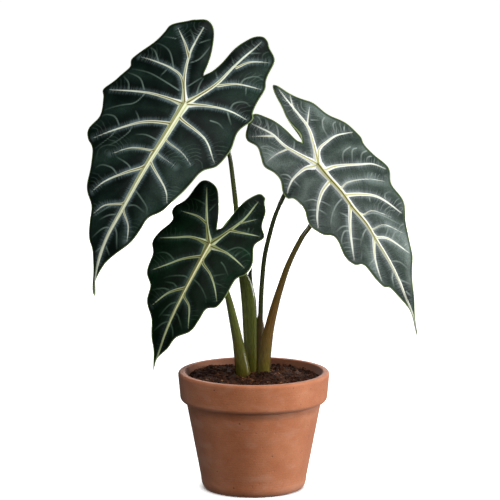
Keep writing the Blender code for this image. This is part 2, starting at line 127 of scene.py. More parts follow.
# Blades. Each is set out on its own axes: u runs from the junction with the stalk towards the tip, v to
# the right as the upper face is seen, and the face bows outwards along u and falls away to both sides.
# The margins run from the notch between the back lobes, round a lobe and down to the tip. A main vein is
# its half width at the root and its line; the midrib comes first. Fine veins are lines only.
BLADES = {
    "blade_left_leaf": {
        "junction": (-67.3, -18, 384.9), "tip": (-153.4, -70, 203.9), "facing": (-0.22, -0.93, 0.25),
        "bow": 16, "fall": 10, "half_width": 70, "rib_lead": 42,
        "midrib": [(0, 0), (39, -2), (74, -5), (119, -8), (151, -11), (181, -9), (207, 0)],
        "right": [(-35, 3), (-45, 10), (-69, 17), (-88, 27), (-94, 37), (-92, 44), (-87, 48), (-77, 58),
                  (-57, 59), (-46, 62), (-22, 62), (-13, 65), (5, 59), (26, 61), (43, 57), (54, 47),
                  (71, 42), (102, 31), (117, 20), (131, 17), (150, 11), (169, -1), (179, -4), (197, -5),
                  (207, 0)],
        "left": [(-35, 3), (-38, 2), (-46, 1), (-64, -2), (-82, -10), (-88, -19), (-85, -30),
                 (-82, -37), (-71, -52), (-61, -56), (-43, -63), (-25, -74), (-15, -71), (-1, -77),
                 (15, -85), (24, -80), (43, -74), (59, -78), (68, -74), (79, -62), (113, -51),
                 (130, -38), (156, -29), (170, -18), (201, -5), (207, 0)],
        "veins": [
            (3.9, [(0, 0), (39, -2), (74, -5), (119, -8), (151, -11), (181, -9), (205, -1)]),
            (2.4, [(0, 0), (-24, -13), (-47, -20), (-64, -21), (-80, -20)]),
            (1.6, [(-47, -20), (-58, -30), (-70, -44)]),
            (2.4, [(0, 0), (-31, 18), (-57, 26), (-89, 39)]),
            (1.2, [(-55, 28), (-66, 38), (-73, 54)]), (1.3, [(-31, 21), (-40, 36), (-45, 58)]),
            (1.8, [(0, 0), (-8, 22), (-12, 42), (-11, 60)]),
            (1.8, [(9, 1), (15, 4), (24, 34), (42, 53)]),
            (1.7, [(55, -5), (66, -3), (85, 22), (97, 30)]),
            (1.2, [(114, -9), (121, -6), (132, 4), (146, 9)]),
            (1.8, [(0, 0), (-23, -15), (-29, -29), (-30, -49), (-29, -66)]),
            (1.9, [(0, 0), (1, -23), (4, -44), (14, -79)]),
            (1.9, [(26, -3), (24, -5), (32, -28), (48, -49), (66, -69)]),
            (1.8, [(71, -5), (76, -9), (86, -21), (101, -36), (115, -44)]),
            (1.0, [(55, -5), (61, -27), (74, -43)]), (1.0, [(35, -1), (41, 2), (46, 21), (54, 35)]),
            (0.8, [(48, -4), (56, 0), (61, 22)]), (1.2, [(114, -9), (115, -10), (123, -26), (134, -33)]),
        ],
        "fine": [
            [(-31, -46), (-41, -55), (-41, -64)], [(-30, -28), (-46, -40), (-49, -56), (-45, -61)],
            [(-59, -41), (-57, -54)], [(-25, -34), (-18, -36)],
            [(-11, -12), (-15, -34), (-17, -50), (-14, -67)],
            [(1, -45), (-9, -54), (-9, -69)], [(6, -60), (0, -63), (-4, -72)],
            [(5, -42), (18, -45), (25, -59), (35, -72)], [(33, -33), (29, -36), (25, -41)],
            [(44, -50), (37, -58), (39, -69), (43, -73)], [(41, -37), (47, -36), (60, -43), (67, -49)],
            [(51, -51), (57, -51), (75, -61)], [(57, -8), (60, -22), (71, -40)],
            [(80, -18), (77, -22), (75, -36)], [(90, -29), (86, -35), (87, -47), (92, -51)],
            [(57, 1), (59, 9)], [(44, -8), (43, -20), (47, -29)], [(115, -11), (118, -18), (137, -32)],
            [(127, -12), (130, -18), (137, -24)], [(141, -12), (143, -18), (156, -25)],
            [(160, -12), (168, -16)], [(98, -4), (101, 2), (109, 15), (114, 16)],
            [(114, -3), (111, 3), (114, 13)], [(139, -7), (143, -3), (157, 3)], [(159, -8), (166, -1)],
            [(-56, 26), (-63, 19)], [(-36, 18), (-44, 11)], [(-14, 6), (-23, 4), (-33, 4)],
            [(-18, -6), (-26, -1), (-33, 3)], [(-42, -15), (-48, -8), (-67, -4)],
            [(-61, -20), (-68, -25), (-72, -31)], [(-64, -16), (-71, -8)], [(-74, 34), (-78, 43)],
            [(-41, 39), (-48, 40), (-56, 50), (-54, 58)], [(-15, 42), (-21, 42), (-27, 51), (-25, 57)],
            [(-10, 41), (0, 50)], [(-40, 46), (-33, 49)], [(5, 31), (4, 39), (7, 45)],
        ],
    },
    "blade_small_leaf": {
        "junction": (-43.3, -34, 249.4), "tip": (-97.4, -68, 130.2), "facing": (-0.15, -0.9, 0.3),
        "bow": 10, "fall": 6, "half_width": 50, "rib_lead": 28,
        "midrib": [(0, 0), (53, -2), (84, -3), (117, -2), (135, 0)],
        "right": [(-17, 0), (-23, 5), (-45, 9), (-65, 21), (-65, 29), (-60, 31), (-52, 36), (-38, 38),
                  (-28, 45), (-16, 40), (1, 46), (13, 45), (22, 38), (41, 37), (54, 33), (60, 25),
                  (73, 23), (86, 19), (97, 9), (109, 5), (122, -1), (135, 0)],
        "left": [(-17, 0), (-38, -8), (-54, -17), (-59, -27), (-57, -35), (-48, -39), (-33, -43),
                 (-24, -49), (-17, -50), (-9, -46), (7, -52), (19, -54), (30, -48), (49, -45),
                 (60, -36), (76, -32), (90, -21), (106, -14), (118, -7), (135, 0)],
        "veins": [
            (2.9, [(0, 0), (53, -2), (84, -3), (117, -2), (128, -1)]),
            (2.1, [(0, 0), (-19, -12), (-35, -20), (-52, -28)]),
            (2.1, [(0, 0), (-21, 12), (-38, 20), (-58, 25)]),
            (0.7, [(-30, 16), (-42, 31)]), (1.4, [(-21, 12), (-24, 26), (-27, 40)]),
            (1.4, [(-19, -13), (-22, -24), (-21, -41)]),
            (1.7, [(0, 0), (-1, -4), (0, -20), (6, -34), (12, -48)]),
            (1.5, [(14, 0), (14, -2), (23, -17), (34, -29), (45, -41)]),
            (1.5, [(49, -2), (50, -4), (60, -16), (77, -26)]),
            (1.7, [(0, 0), (1, 3), (1, 18), (4, 30), (8, 41)]),
            (1.5, [(14, 0), (20, 3), (27, 14), (38, 24), (49, 31)]),
            (1.4, [(49, -2), (57, 0), (65, 9), (84, 16)]),
        ],
        "fine": [
            [(-32, -15), (-40, -12)], [(-36, -22), (-37, -28), (-37, -37)],
            [(27, -26), (24, -32), (24, -38), (28, -45)], [(0, 18), (-10, 27), (-8, 39), (-2, 44)],
            [(-30, 28), (-26, 29)], [(39, -5), (38, -8), (43, -20), (48, -26)],
            [(51, -11), (49, -15), (51, -23)], [(57, -17), (57, -22), (63, -32)],
            [(65, -4), (69, -10), (85, -15)], [(79, -5), (82, -12)], [(86, -5), (89, -9), (99, -14)],
            [(87, -1), (91, 3), (100, 7)], [(75, -1), (77, 3), (87, 11)],
            [(38, 1), (40, 8), (48, 19), (54, 22)], [(33, 22), (33, 31)], [(27, 18), (21, 27)],
            [(12, 19), (14, 23), (21, 30)], [(0, 28), (-5, 30)],
        ],
    },
    "blade_right_leaf": {
        "junction": (63.3, 2, 322.9), "tip": (159.2, -46, 161.6), "facing": (0.22, -0.93, 0.25),
        "bow": 16, "fall": 9, "half_width": 60, "rib_lead": 40,
        "midrib": [(0, 0), (14, 1), (35, 4), (55, 5), (75, 8), (94, 8), (121, 9), (146, 8), (175, 5),
                   (194, 0)],
        "right": [(-28, -1), (-37, 2), (-55, 0), (-69, 1), (-91, 4), (-92, 8), (-80, 15), (-67, 25),
                  (-58, 32), (-40, 40), (-23, 51), (-7, 55), (5, 53), (29, 60), (39, 60), (52, 54),
                  (75, 54), (96, 43), (121, 35), (136, 26), (155, 17), (175, 8), (194, 0)],
        "left": [(-28, -1), (-33, -4), (-47, -7), (-67, -16), (-77, -27), (-66, -41), (-57, -45),
                 (-46, -41), (-35, -43), (-25, -45), (-14, -41), (-4, -40), (7, -44), (15, -44),
                 (19, -39), (32, -36), (45, -40), (53, -40), (64, -34), (72, -26), (92, -27),
                 (105, -23), (111, -15), (136, -9), (142, -3), (160, 3), (174, 4), (194, 0)],
        "veins": [
            (3.5, [(0, 0), (14, 1), (35, 4), (55, 5), (75, 8), (94, 8), (121, 9), (146, 8), (175, 5),
                   (188, 2)]),
            (2.6, [(0, 0), (-24, 9), (-41, 13), (-64, 11), (-86, 8)]),
            (0.9, [(-41, 13), (-58, 27)]), (0.6, [(-64, 11), (-78, 16)]),
            (2.6, [(0, 0), (-30, -16), (-51, -22), (-69, -33)]), (1.0, [(-48, -22), (-59, -41)]),
            (1.0, [(-29, -16), (-30, -29), (-28, -41)]),
            (2.2, [(0, 0), (-13, 9), (-17, 22), (-18, 34), (-14, 50)]),
            (2.3, [(4, 1), (8, 3), (10, 15), (19, 36), (25, 49), (35, 57)]),
            (2.3, [(38, 4), (40, 5), (47, 20), (58, 34), (82, 46)]),
            (1.5, [(90, 9), (92, 10), (99, 20), (121, 32)]),
            (0.9, [(30, 3), (32, 6), (30, 16), (36, 34), (46, 49)]),
            (0.8, [(64, 9), (66, 11), (67, 21), (81, 34)]), (0.7, [(82, 9), (83, 11), (85, 24), (102, 37)]),
            (2.4, [(0, 0), (-1, -6), (-3, -14), (0, -28), (5, -36), (10, -41)]),
            (2.4, [(21, 2), (21, -1), (26, -12), (35, -22), (46, -30), (56, -35)]),
            (2.2, [(48, 5), (51, 4), (56, 1), (67, -6), (81, -13), (101, -21)]),
            (1.7, [(90, 8), (93, 6), (104, 0), (115, -4), (131, -7)]),
        ],
        "fine": [
            [(-61, 10), (-65, 13), (-77, 15)], [(-44, 20), (-40, 27)],
            [(-40, 33), (-38, 29), (-30, 25), (-19, 25)], [(-31, 40), (-30, 36), (-19, 33)],
            [(-22, 45), (-18, 42)], [(-1, 38), (0, 28), (11, 22)], [(3, 43), (2, 38), (14, 31)],
            [(10, 51), (10, 44), (18, 39)], [(17, 52), (16, 48), (20, 44)],
            [(62, 39), (57, 41), (58, 48)], [(54, 25), (58, 23)], [(67, 10), (69, 23), (92, 38)],
            [(84, 12), (84, 19), (91, 32), (101, 37)], [(96, 17), (88, 27)],
            [(100, 23), (95, 30), (98, 35)], [(80, 5), (83, -1), (91, -8), (104, -15)],
            [(73, -11), (71, -16), (81, -25), (92, -26)], [(69, -9), (66, -14), (68, -22)],
            [(81, -12), (86, -6)], [(42, 0), (45, -9), (54, -20), (65, -25)], [(34, -18), (43, -13)],
            [(32, -21), (28, -24), (26, -32)], [(39, -27), (35, -34)], [(41, -24), (48, -21)],
            [(-1, -30), (-6, -31), (-10, -37), (-5, -40)], [(3, -29), (11, -28)],
            [(60, -4), (53, -9)], [(-44, -18), (-50, -15), (-58, -13)], [(-56, -22), (-66, -18)],
            [(-27, -11), (-35, -5)], [(-12, -5), (-18, -4)], [(-10, 2), (-15, -2)],
            [(-44, -39), (-43, -34), (-39, -31)], [(119, 11), (123, 18), (133, 22)],
            [(139, 10), (147, 17)], [(130, 7), (134, 3), (142, 1)], [(152, 10), (158, 12)],
            [(109, -2), (112, -11)],
        ],
    },
}
MARGIN_SPACING = 1.0  # between rows of facets along a margin
ACROSS = 54  # facets from the midrib to the margin
LAMINA = 0.7  # thickness between the veins
MAIN_RIB = 1.8  # half width from which a vein counts as a rib
COMB_SHIFT = 61.0  # sets the comb of one vein apart from the next one's
VEIN_TAPER = 0.8  # share of its half width that a vein loses on its way
HUB_FLARE, HUB_REACH = 2.2, 8.5  # extra half width of the veins where they meet, and how far out it reaches
RIB_HEIGHT, RIB_GROOVE, RIB_KEEL = 0.45, 0.35, 1.5  # above, into and under a blade, by a vein's half width
QUILT_HEIGHT, QUILT_RISE = 1.5, 5.0  # of the tissue between the veins, and the distance in which it rises
FINE_GROOVE, FINE_GROOVE_REACH = 0.22, 0.9  # depth and half width of the groove of a fine vein
RIPPLE_HEIGHT, RIPPLE_LENGTH, RIPPLE_REACH = 1.3, 34, 24  # waves of the margin
LOOP_START, LOOP_END = 4, 25  # distances from a vein's end between which it has loops
WELD_DISTANCE = 0.000004  # metres
SAMPLE_STEP, SAMPLE_SLACK = 0.5, 0.3  # along a line that distances are measured to
BATCH = 2000  # points measured at a time

# ---------------------------------------------------------------- materials

# Inputs of a Mix node that mixes colours, and of one that mixes numbers.
AMOUNT, UNDER, OVER = 0, 6, 7
LOW, HIGH = 2, 3
LAYER = {"data_type": "RGBA"}
SHADE = {"data_type": "RGBA", "blend_type": "MULTIPLY"}
SOFT = {"interpolation_type": "SMOOTHSTEP"}
TIMES = {"operation": "MULTIPLY"}
TIMES_PLUS = {"operation": "MULTIPLY_ADD"}


def linear(colour):
    """An sRGB hex colour as linear red, green, blue and alpha."""
    parts = [int(colour[i:i + 2], 16) / 255 for i in (1, 3, 5)]
    return [*(c / 12.92 if c <= 0.04045 else ((c + 0.055) / 1.055) ** 2.4 for c in parts), 1.0]


def feed(tree, node, inputs):
    """Gives a node's inputs a value, a hex colour, or a link from a node's first output or from an output."""
    for name, value in inputs.items():
        if isinstance(value, bpy.types.Node):
            value = next(socket for socket in value.outputs if socket.enabled)
        if isinstance(value, bpy.types.NodeSocket):
            tree.links.new(value, node.inputs[name])
        else:
            node.inputs[name].default_value = linear(value) if isinstance(value, str) else value


def add(tree, kind, inputs=(), stops=None, span=(), **settings):
    """Adds a node and sets it. Its inputs are a dict by name, a tuple in order, or what the first one gets.

    Stops fill a colour ramp. A span is a range from low to high and, if it has four numbers, what it becomes.
    """
    made = tree.nodes.new("ShaderNode" + kind)
    for name, value in settings.items():
        setattr(made, name, value)
    if not isinstance(inputs, dict):
        inputs = dict(enumerate(inputs if isinstance(inputs, tuple) else [inputs]))
    feed(tree, made, {**inputs, **dict(zip(("From Min", "From Max", "To Min", "To Max"), span))})
    if stops:
        ramp = made.color_ramp
        ramp.elements[0].position, ramp.elements[1].position = stops[0][0], stops[-1][0]
        ramp.elements[0].color, ramp.elements[1].color = linear(stops[0][1]), linear(stops[-1][1])
        for place, colour in stops[1:-1]:
            ramp.elements.new(place).color = linear(colour)
    return made


def new_material(name, sockets):
    """A material, its node tree and its Principled shader, whose even settings are given by socket name."""
    made = bpy.data.materials.new(name)
    made.use_nodes = True
    shader = made.node_tree.nodes["Principled BSDF"]
    feed(made.node_tree, shader, sockets)
    return made, made.node_tree, shader


def fired_clay():
    """Earthenware, thrown and fired unglazed: matt and powdery, with blotches, turning lines and pits."""
    made, tree, shader = new_material(
        "fired_clay", {"Specular IOR Level": 0.4, "Sheen Weight": 0.14, "Sheen Roughness": 0.6})
    place = add(tree, "TexCoord").outputs["Object"]
    blotches = add(tree, "TexNoise", {"Vector": place, "Scale": 42.0, "Detail": 6.0, "Roughness": 0.6})
    grit = add(tree, "TexNoise", {"Vector": place, "Scale": 900.0, "Detail": 3.0, "Roughness": 0.7})
    tone = add(tree, "ValToRGB", blotches, stops=[(0.30, "#ae643b"), (0.5, "#b66d44"), (0.70, "#bf7850")])
    specks = add(tree, "MapRange", grit, span=(0.35, 0.65, 0.88, 1.08))
    colour = add(tree, "Mix", {AMOUNT: 1.0, UNDER: tone, OVER: specks}, **SHADE)
    # Pale bloom in wisps that run round the pot.
    spread = add(tree, "Mapping", {"Vector": place, "Scale": (1.0, 1.0, 2.6)})
    wisps = add(tree, "TexNoise", {
        "Vector": spread, "Scale": 30.0, "Detail": 5.0, "Roughness": 0.55, "Distortion": 0.4})
    bloom = add(tree, "MapRange", wisps, span=(0.46, 0.72, 0.0, 0.28), **SOFT)
    colour = add(tree, "Mix", {AMOUNT: bloom, UNDER: colour, OVER: "#cf9d82"}, **LAYER)
    # Pits: rare dark specks about 1 mm across, each with its own hollow.
    pits = add(tree, "TexVoronoi", {"Vector": place, "Scale": 140.0, "Randomness": 1.0})
    hollow = add(tree, "MapRange", pits.outputs["Distance"], span=(0.05, 0.16))
    common = add(tree, "Math", (pits.outputs["Color"], 0.30), operation="GREATER_THAN")
    speck = add(tree, "Math", (hollow, common), operation="MAXIMUM")
    speck = add(tree, "MapRange", speck, span=(0.0, 1.0, 0.35, 1.0))
    # Painted shade: the inside wall is darkened from a little under the soil's level up to the rim.
    apart = add(tree, "SeparateXYZ", place)
    level = add(tree, "CombineXYZ", {"X": apart.outputs["X"], "Y": apart.outputs["Y"]})
    reach = add(tree, "VectorMath", level, operation="LENGTH")
    inner_wall = RIM_RADIUS - WALL
    painted_inside_shade = add(tree, "MapRange", reach, span=(inner_wall * MM, (inner_wall + INSIDE_SHADE_FADE) * MM, 0.42, 1.0))
    high = add(tree, "Math", (apart.outputs["Z"], (SOIL_LEVEL - INSIDE_SHADE_DEPTH) * MM), operation="GREATER_THAN")
    painted_inside_shade = add(tree, "Mix", {AMOUNT: high, LOW: 1.0, HIGH: painted_inside_shade})
    for shade in (speck, painted_inside_shade):
        colour = add(tree, "Mix", {AMOUNT: 1.0, UNDER: colour, OVER: shade}, **SHADE)
    # Turning lines up the wall, bent a little by the blotches.
    bent = add(tree, "Math", (blotches, 0.004, apart.outputs["Z"]), **TIMES_PLUS)
    rings = add(tree, "Math", (bent, 2 * math.pi / (TURNING_LINES * MM)), **TIMES)
    rings = add(tree, "Math", rings, operation="SINE")
    height = add(tree, "Math", (rings, 0.10, hollow), **TIMES_PLUS)
    height = add(tree, "Math", (grit, 0.5, height), **TIMES_PLUS)
    bump = add(tree, "Bump", {"Height": height, "Distance": 0.0003, "Strength": 0.6})
    rough = add(tree, "MapRange", grit, span=(0.0, 1.0, 0.68, 0.85))
    feed(tree, shader, {"Base Color": colour, "Roughness": rough, "Normal": bump})
    return made


def potting_mix():
    """Damp peat and coir: nearly black, with brown fibres and a few paler crumbs."""
    made, tree, shader = new_material("potting_mix", {"Specular IOR Level": 0.2})
    place = add(tree, "TexCoord").outputs["Object"]
    crumbs = add(tree, "TexNoise", {"Vector": place, "Scale": 420.0, "Detail": 5.0, "Roughness": 0.65})
    patches = add(tree, "TexNoise", {"Vector": place, "Scale": 60.0, "Detail": 3.0})
    mixed = add(tree, "Math", (patches, 0.35, crumbs), **TIMES_PLUS)
    tone = add(tree, "ValToRGB", mixed,
               stops=[(0.45, "#0b0502"), (0.62, "#221006"), (0.76, "#472612"), (0.9, "#8a5634")])
    bump = add(tree, "Bump", {"Height": crumbs, "Distance": 0.0012, "Strength": 0.9})
    rough = add(tree, "MapRange", crumbs, span=(0.0, 1.0, 0.7, 1.0))
    feed(tree, shader, {"Base Color": tone, "Roughness": rough, "Normal": bump})
    return made


def bark_crumbs():
    """Bits of composted bark: matt brown, each a little different."""
    made, tree, shader = new_material("bark_crumbs", {"Specular IOR Level": 0.2})
    place = add(tree, "TexCoord").outputs["Object"]
    own = add(tree, "Attribute", attribute_name="crumb_tone").outputs["Fac"]
    fibre = add(tree, "TexNoise", {"Vector": place, "Scale": 700.0, "Detail": 4.0})
    mixed = add(tree, "Math", (fibre, 0.3, own), **TIMES_PLUS)
    tone = add(tree, "ValToRGB", mixed,
               stops=[(0.1, "#120703"), (0.5, "#2c1509"), (0.9, "#4f2d19"), (1.1, "#80563a")])
    rough = add(tree, "MapRange", fibre, span=(0.0, 1.0, 0.7, 1.0))
    bump = add(tree, "Bump", {"Height": fibre, "Distance": 0.0004, "Strength": 0.8})
    feed(tree, shader, {"Base Color": tone, "Roughness": rough, "Normal": bump})
    return made


def corm_skin():
    """The corm's fibrous brown skin, under the soil."""
    made, tree, shader = new_material("corm_skin", {"Specular IOR Level": 0.3, "Roughness": 0.8})
    place = add(tree, "TexCoord").outputs["Object"]
    bands = add(tree, "TexWave", {"Vector": place, "Scale": 60.0, "Distortion": 4.0, "Detail": 3.0},
                bands_direction="Z").outputs["Fac"]
    tone = add(tree, "ValToRGB", bands, stops=[(0.2, "#3a2416"), (0.8, "#6a4a30")])
    bump = add(tree, "Bump", {"Height": bands, "Distance": 0.0006, "Strength": 0.7})
    feed(tree, shader, {"Base Color": tone, "Normal": bump})
    return made


def stalk_skin(name, foot, middle, upper, roughness):
    """A fleshy leaf stalk: smooth waxy skin with lengthwise fibres, changing colour up its length."""
    made, tree, shader = new_material(name, {
        "Specular IOR Level": 0.4, "Coat Weight": 0.8, "Coat Roughness": 0.10, "Roughness": roughness})
    place = add(tree, "TexCoord").outputs["Object"]
    share = add(tree, "Attribute", attribute_name="share").outputs["Fac"]
    around = add(tree, "Attribute", attribute_name="around").outputs["Vector"]
    fibres = add(tree, "TexNoise", {"Vector": around, "Scale": 7.0, "Detail": 4.0, "Roughness": 0.6})
    mottle = add(tree, "TexNoise", {"Vector": place, "Scale": 110.0, "Detail": 4.0})
    run = add(tree, "Math", (mottle, 0.12, share), **TIMES_PLUS)
    tone = add(tree, "ValToRGB", run, stops=[(0.06, foot), (0.35, middle), (0.9, upper)])
    streaks = add(tree, "MapRange", fibres, span=(0.3, 0.7, 0.55, 1.35))
    colour = add(tree, "Mix", {AMOUNT: 1.0, UNDER: tone, OVER: streaks}, **SHADE)
    bump = add(tree, "Bump", {"Height": fibres, "Distance": 0.0003, "Strength": 0.5})
    feed(tree, shader, {"Base Color": colour, "Normal": bump})
    return made


def blade_skin(name, look):
    """The upper face of a blade: waxy leaf skin, quilted between pale raised veins, with a dark margin."""
    made, tree, shader = new_material(name, {"Specular IOR Level": look["gloss"]})
    place = add(tree, "TexCoord").outputs["Object"]
    fields = {field: add(tree, "Attribute", attribute_name=field).outputs["Fac"] for field in (
        "vein_edge", "vein_across", "vein_share", "vein_run", "is_midrib", "from_ribs", "fine_edge",
        "fine_fade", "from_margin", "loop", "loop_fade")}
    # Tissue: soft blotches about 15 mm across, darker in the angles beside the ribs as painted shade of the
    # quilting, and lighter further out.
    blotches = add(tree, "TexNoise", {"Vector": place, "Scale": 65.0, "Detail": 4.0, "Roughness": 0.55})
    outward = add(tree, "MapRange", fields["from_ribs"], span=(2.0, 26.0), **SOFT)
    level = add(tree, "Math", (blotches, 0.7, -0.12), **TIMES_PLUS)
    level = add(tree, "Math", (outward, look["outward"], level), **TIMES_PLUS)
    tissue = add(tree, "ValToRGB", level, stops=look["tissue"])
    grain = add(tree, "TexNoise", {"Vector": place, "Scale": 900.0, "Detail": 3.0, "Roughness": 0.7})
    grain = add(tree, "MapRange", grain, span=(0.3, 0.7, 0.6, 1.4))
    colour = add(tree, "Mix", {AMOUNT: 1.0, UNDER: tissue, OVER: grain}, **SHADE)
    # Comb of fine lines that leave each main vein square to it, about one a millimetre.
    comb = add(tree, "TexNoise", {"W": fields["vein_run"], "Scale": 0.9, "Detail": 2.0},
               noise_dimensions="1D")
    comb = add(tree, "MapRange", comb, span=(0.42, 0.68))
    near = add(tree, "MapRange", fields["vein_edge"], span=(0.0, look["comb_reach"], look["comb"], 0.0))
    comb = add(tree, "Math", (comb, near), **TIMES)
    # Halo: bloom on the tissue along the veins.
    halo = add(tree, "MapRange", fields["vein_edge"], span=(-0.2, 4.0, look["halo"], 0.0), **SOFT)
    patchy = add(tree, "MapRange", blotches, span=(0.3, 0.65))
    inner = add(tree, "MapRange", fields["vein_share"], span=(0.35, 0.95, 1.0, 0.05))
    for share in (patchy, inner):
        halo = add(tree, "Math", (halo, share), **TIMES)
    # Fine veins, about 1 mm wide with soft sides, fading towards the margin.
    fine = add(tree, "MapRange", fields["fine_edge"], span=(0.1, 1.2, look["fine"], 0.0), **SOFT)
    fine = add(tree, "Math", (fine, fields["fine_fade"]), **TIMES)
    # Loops, about 5 mm apart and uneven, round the ends of the side veins.
    uneven = add(tree, "TexNoise", {"Vector": place, "Scale": 95.0, "Detail": 1.0})
    loops = add(tree, "Math", (uneven, 6.0, fields["loop"]), **TIMES_PLUS)
    loops = add(tree, "Math", (loops, 2.4), operation="PINGPONG")
    loops = add(tree, "MapRange", loops, span=(0.1, 0.9, look["loops"], 0.0), **SOFT)
    for share in (fields["loop_fade"], blotches):
        loops = add(tree, "Math", (loops, share), **TIMES)
    # Margin: a dark line inside a thin translucent rim.
    margin = add(tree, "MapRange", fields["from_margin"], span=(0.0, 4.0))
    margin = add(tree, "ValToRGB", margin, stops=look["margin"])
    rim = add(tree, "MapRange", fields["from_margin"], span=(1.2, 3.6, 1.0, 0.0), **SOFT)
    # Main veins: pale bands either side of a darker groove that closes towards the vein's end. The midrib's
    # ramp also holds painted light: its left flank is painted shaded, and its right flank is painted lit with
    # a painted highlight line.
    across = add(tree, "MapRange", fields["vein_across"], span=(-1.0, 1.0))
    midrib = add(tree, "ValToRGB", across, stops=look["midrib"])
    narrowing = add(tree, "MapRange", fields["vein_share"], span=(0.4, 1.0))
    midrib = add(tree, "Mix", {AMOUNT: narrowing, UNDER: midrib, OVER: look["vein"]}, **LAYER)
    lateral = add(tree, "ValToRGB", across, stops=look["lateral"])
    closing = add(tree, "MapRange", fields["vein_share"], span=(0.25, 0.75), **SOFT)
    lateral = add(tree, "Mix", {AMOUNT: closing, UNDER: lateral, OVER: look["vein"]}, **LAYER)
    vein = add(tree, "Mix", {AMOUNT: fields["is_midrib"], UNDER: lateral, OVER: midrib}, **LAYER)
    mask = add(tree, "MapRange", fields["vein_edge"], span=(-0.25, 0.3, 1.0, 0.0), **SOFT)
    end = add(tree, "MapRange", fields["vein_share"], span=(0.8, 1.0, 1.0, look["vein_end"]))
    mask = add(tree, "Math", (mask, end), **TIMES)
    for amount, tint in (
        (comb, look["comb_colour"]), (halo, look["halo_colour"]), (fine, look["fine_colour"]),
        (loops, look["fine_colour"]), (rim, margin), (mask, vein),
    ):
        colour = add(tree, "Mix", {AMOUNT: amount, UNDER: colour, OVER: tint}, **LAYER)
    # Skin: cells about 0.6 mm across, and the fine veins lie in small grooves.
    cells = add(tree, "TexVoronoi", {"Vector": place, "Scale": 1600.0})
    height = add(tree, "Math", (fine, -1.6, cells), **TIMES_PLUS)
    bump = add(tree, "Bump", {"Height": height, "Distance": 0.00012, "Strength": 0.5})
    rough = add(tree, "MapRange", mask, span=(0.0, 1.0, look["roughness"], 0.5))
    feed(tree, shader, {"Base Color": colour, "Roughness": rough, "Normal": bump})
    return made


def underside_skin(name, tissue, vein):
    """The under face of a blade: dull and paler, with the veins standing out of it."""
    made, tree, shader = new_material(name, {"Specular IOR Level": 0.3})
    place = add(tree, "TexCoord").outputs["Object"]
    edge = add(tree, "Attribute", attribute_name="vein_edge").outputs["Fac"]
    fine = add(tree, "Attribute", attribute_name="fine_edge").outputs["Fac"]
    blotches = add(tree, "TexNoise", {"Vector": place, "Scale": 90.0, "Detail": 5.0})
    colour = add(tree, "ValToRGB", blotches, stops=tissue)
    thin = add(tree, "MapRange", fine, span=(0.2, 0.8, 0.45, 0.0))
    mask = add(tree, "MapRange", edge, span=(-0.3, 0.5, 0.9, 0.0), **SOFT)
    for amount in (thin, mask):
        colour = add(tree, "Mix", {AMOUNT: amount, UNDER: colour, OVER: vein}, **LAYER)
    bump = add(tree, "Bump", {"Height": blotches, "Distance": 0.0004, "Strength": 0.4})
    rough = add(tree, "MapRange", blotches, span=(0.0, 1.0, 0.5, 0.7))
    feed(tree, shader, {"Base Color": colour, "Roughness": rough, "Normal": bump})
    return made


# Each look is what one kind of blade gives blade_skin: amounts from 0 to 1, colours, and colour ramps.
DARK_LOOK = {
    # outward: how much lighter the tissue is painted away from the ribs, against the painted shade in the
    # angles beside them.
    "gloss": 0.08, "roughness": 0.42, "outward": 0.37, "loops": 0.26,
    "tissue": [(0.14, "#030c08"), (0.34, "#0c1914"), (0.6, "#1c2d26"), (0.85, "#2d3c35")],
    "comb": 0.42, "comb_reach": 5.0, "comb_colour": "#7d918f",
    "halo": 0.85, "halo_colour": "#71858a",
    "fine": 0.68, "fine_colour": "#7c9187",
    "margin": [(0.0, "#7f8f58"), (0.14, "#4a5e35"), (0.3, "#060b06"), (0.55, "#0a120c"), (1.0, "#16241c")],
    # Midrib ramp from its left flank to its right: painted shade on the left, painted light and a painted
    # highlight line on the right.
    "midrib": [(0.0, "#dce4d2"), (0.13, "#9a9d60"), (0.28, "#c3c78c"), (0.43, "#84844a"),
               (0.55, "#f3f5d6"), (0.73, "#e3e6ba"), (0.85, "#aeb27a"), (1.0, "#e2e8d4")],
    "lateral": [(0.0, "#eef3ec"), (0.22, "#dfe0b6"), (0.42, "#77713f"), (0.56, "#635c32"), (0.74, "#dedfb2"),
                (1.0, "#d3dac6")],
    "vein": "#dfe6d2", "vein_end": 0.45,
}
SMALL_LOOK = {
    **DARK_LOOK, "gloss": 0.05, "roughness": 0.45, "outward": 0.15, "loops": 0.2,
    "halo": 0.32, "halo_colour": "#56706a", "fine": 0.4, "fine_colour": "#5c7862", "comb": 0.1,
    "tissue": [(0.15, "#020b03"), (0.35, "#05160a"), (0.6, "#0d2716")],
    # Midrib ramp from its left flank to its right: painted shade on the left, painted light and a painted
    # highlight line on the right.
    "midrib": [(0.0, "#8e9a70"), (0.14, "#5f5c30"), (0.30, "#8b8a55"), (0.44, "#5a5428"), (0.55, "#e2e2b6"),
               (0.72, "#c9c992"), (0.84, "#7c7c4a"), (1.0, "#a0a67c")],
    "lateral": [(0.0, "#b3bd9c"), (0.25, "#8e9662"), (0.42, "#4b4424"), (0.56, "#3e3a1e"), (0.74, "#8f9660"),
                (1.0, "#7b8658")],
    "vein": "#a4b285",
}
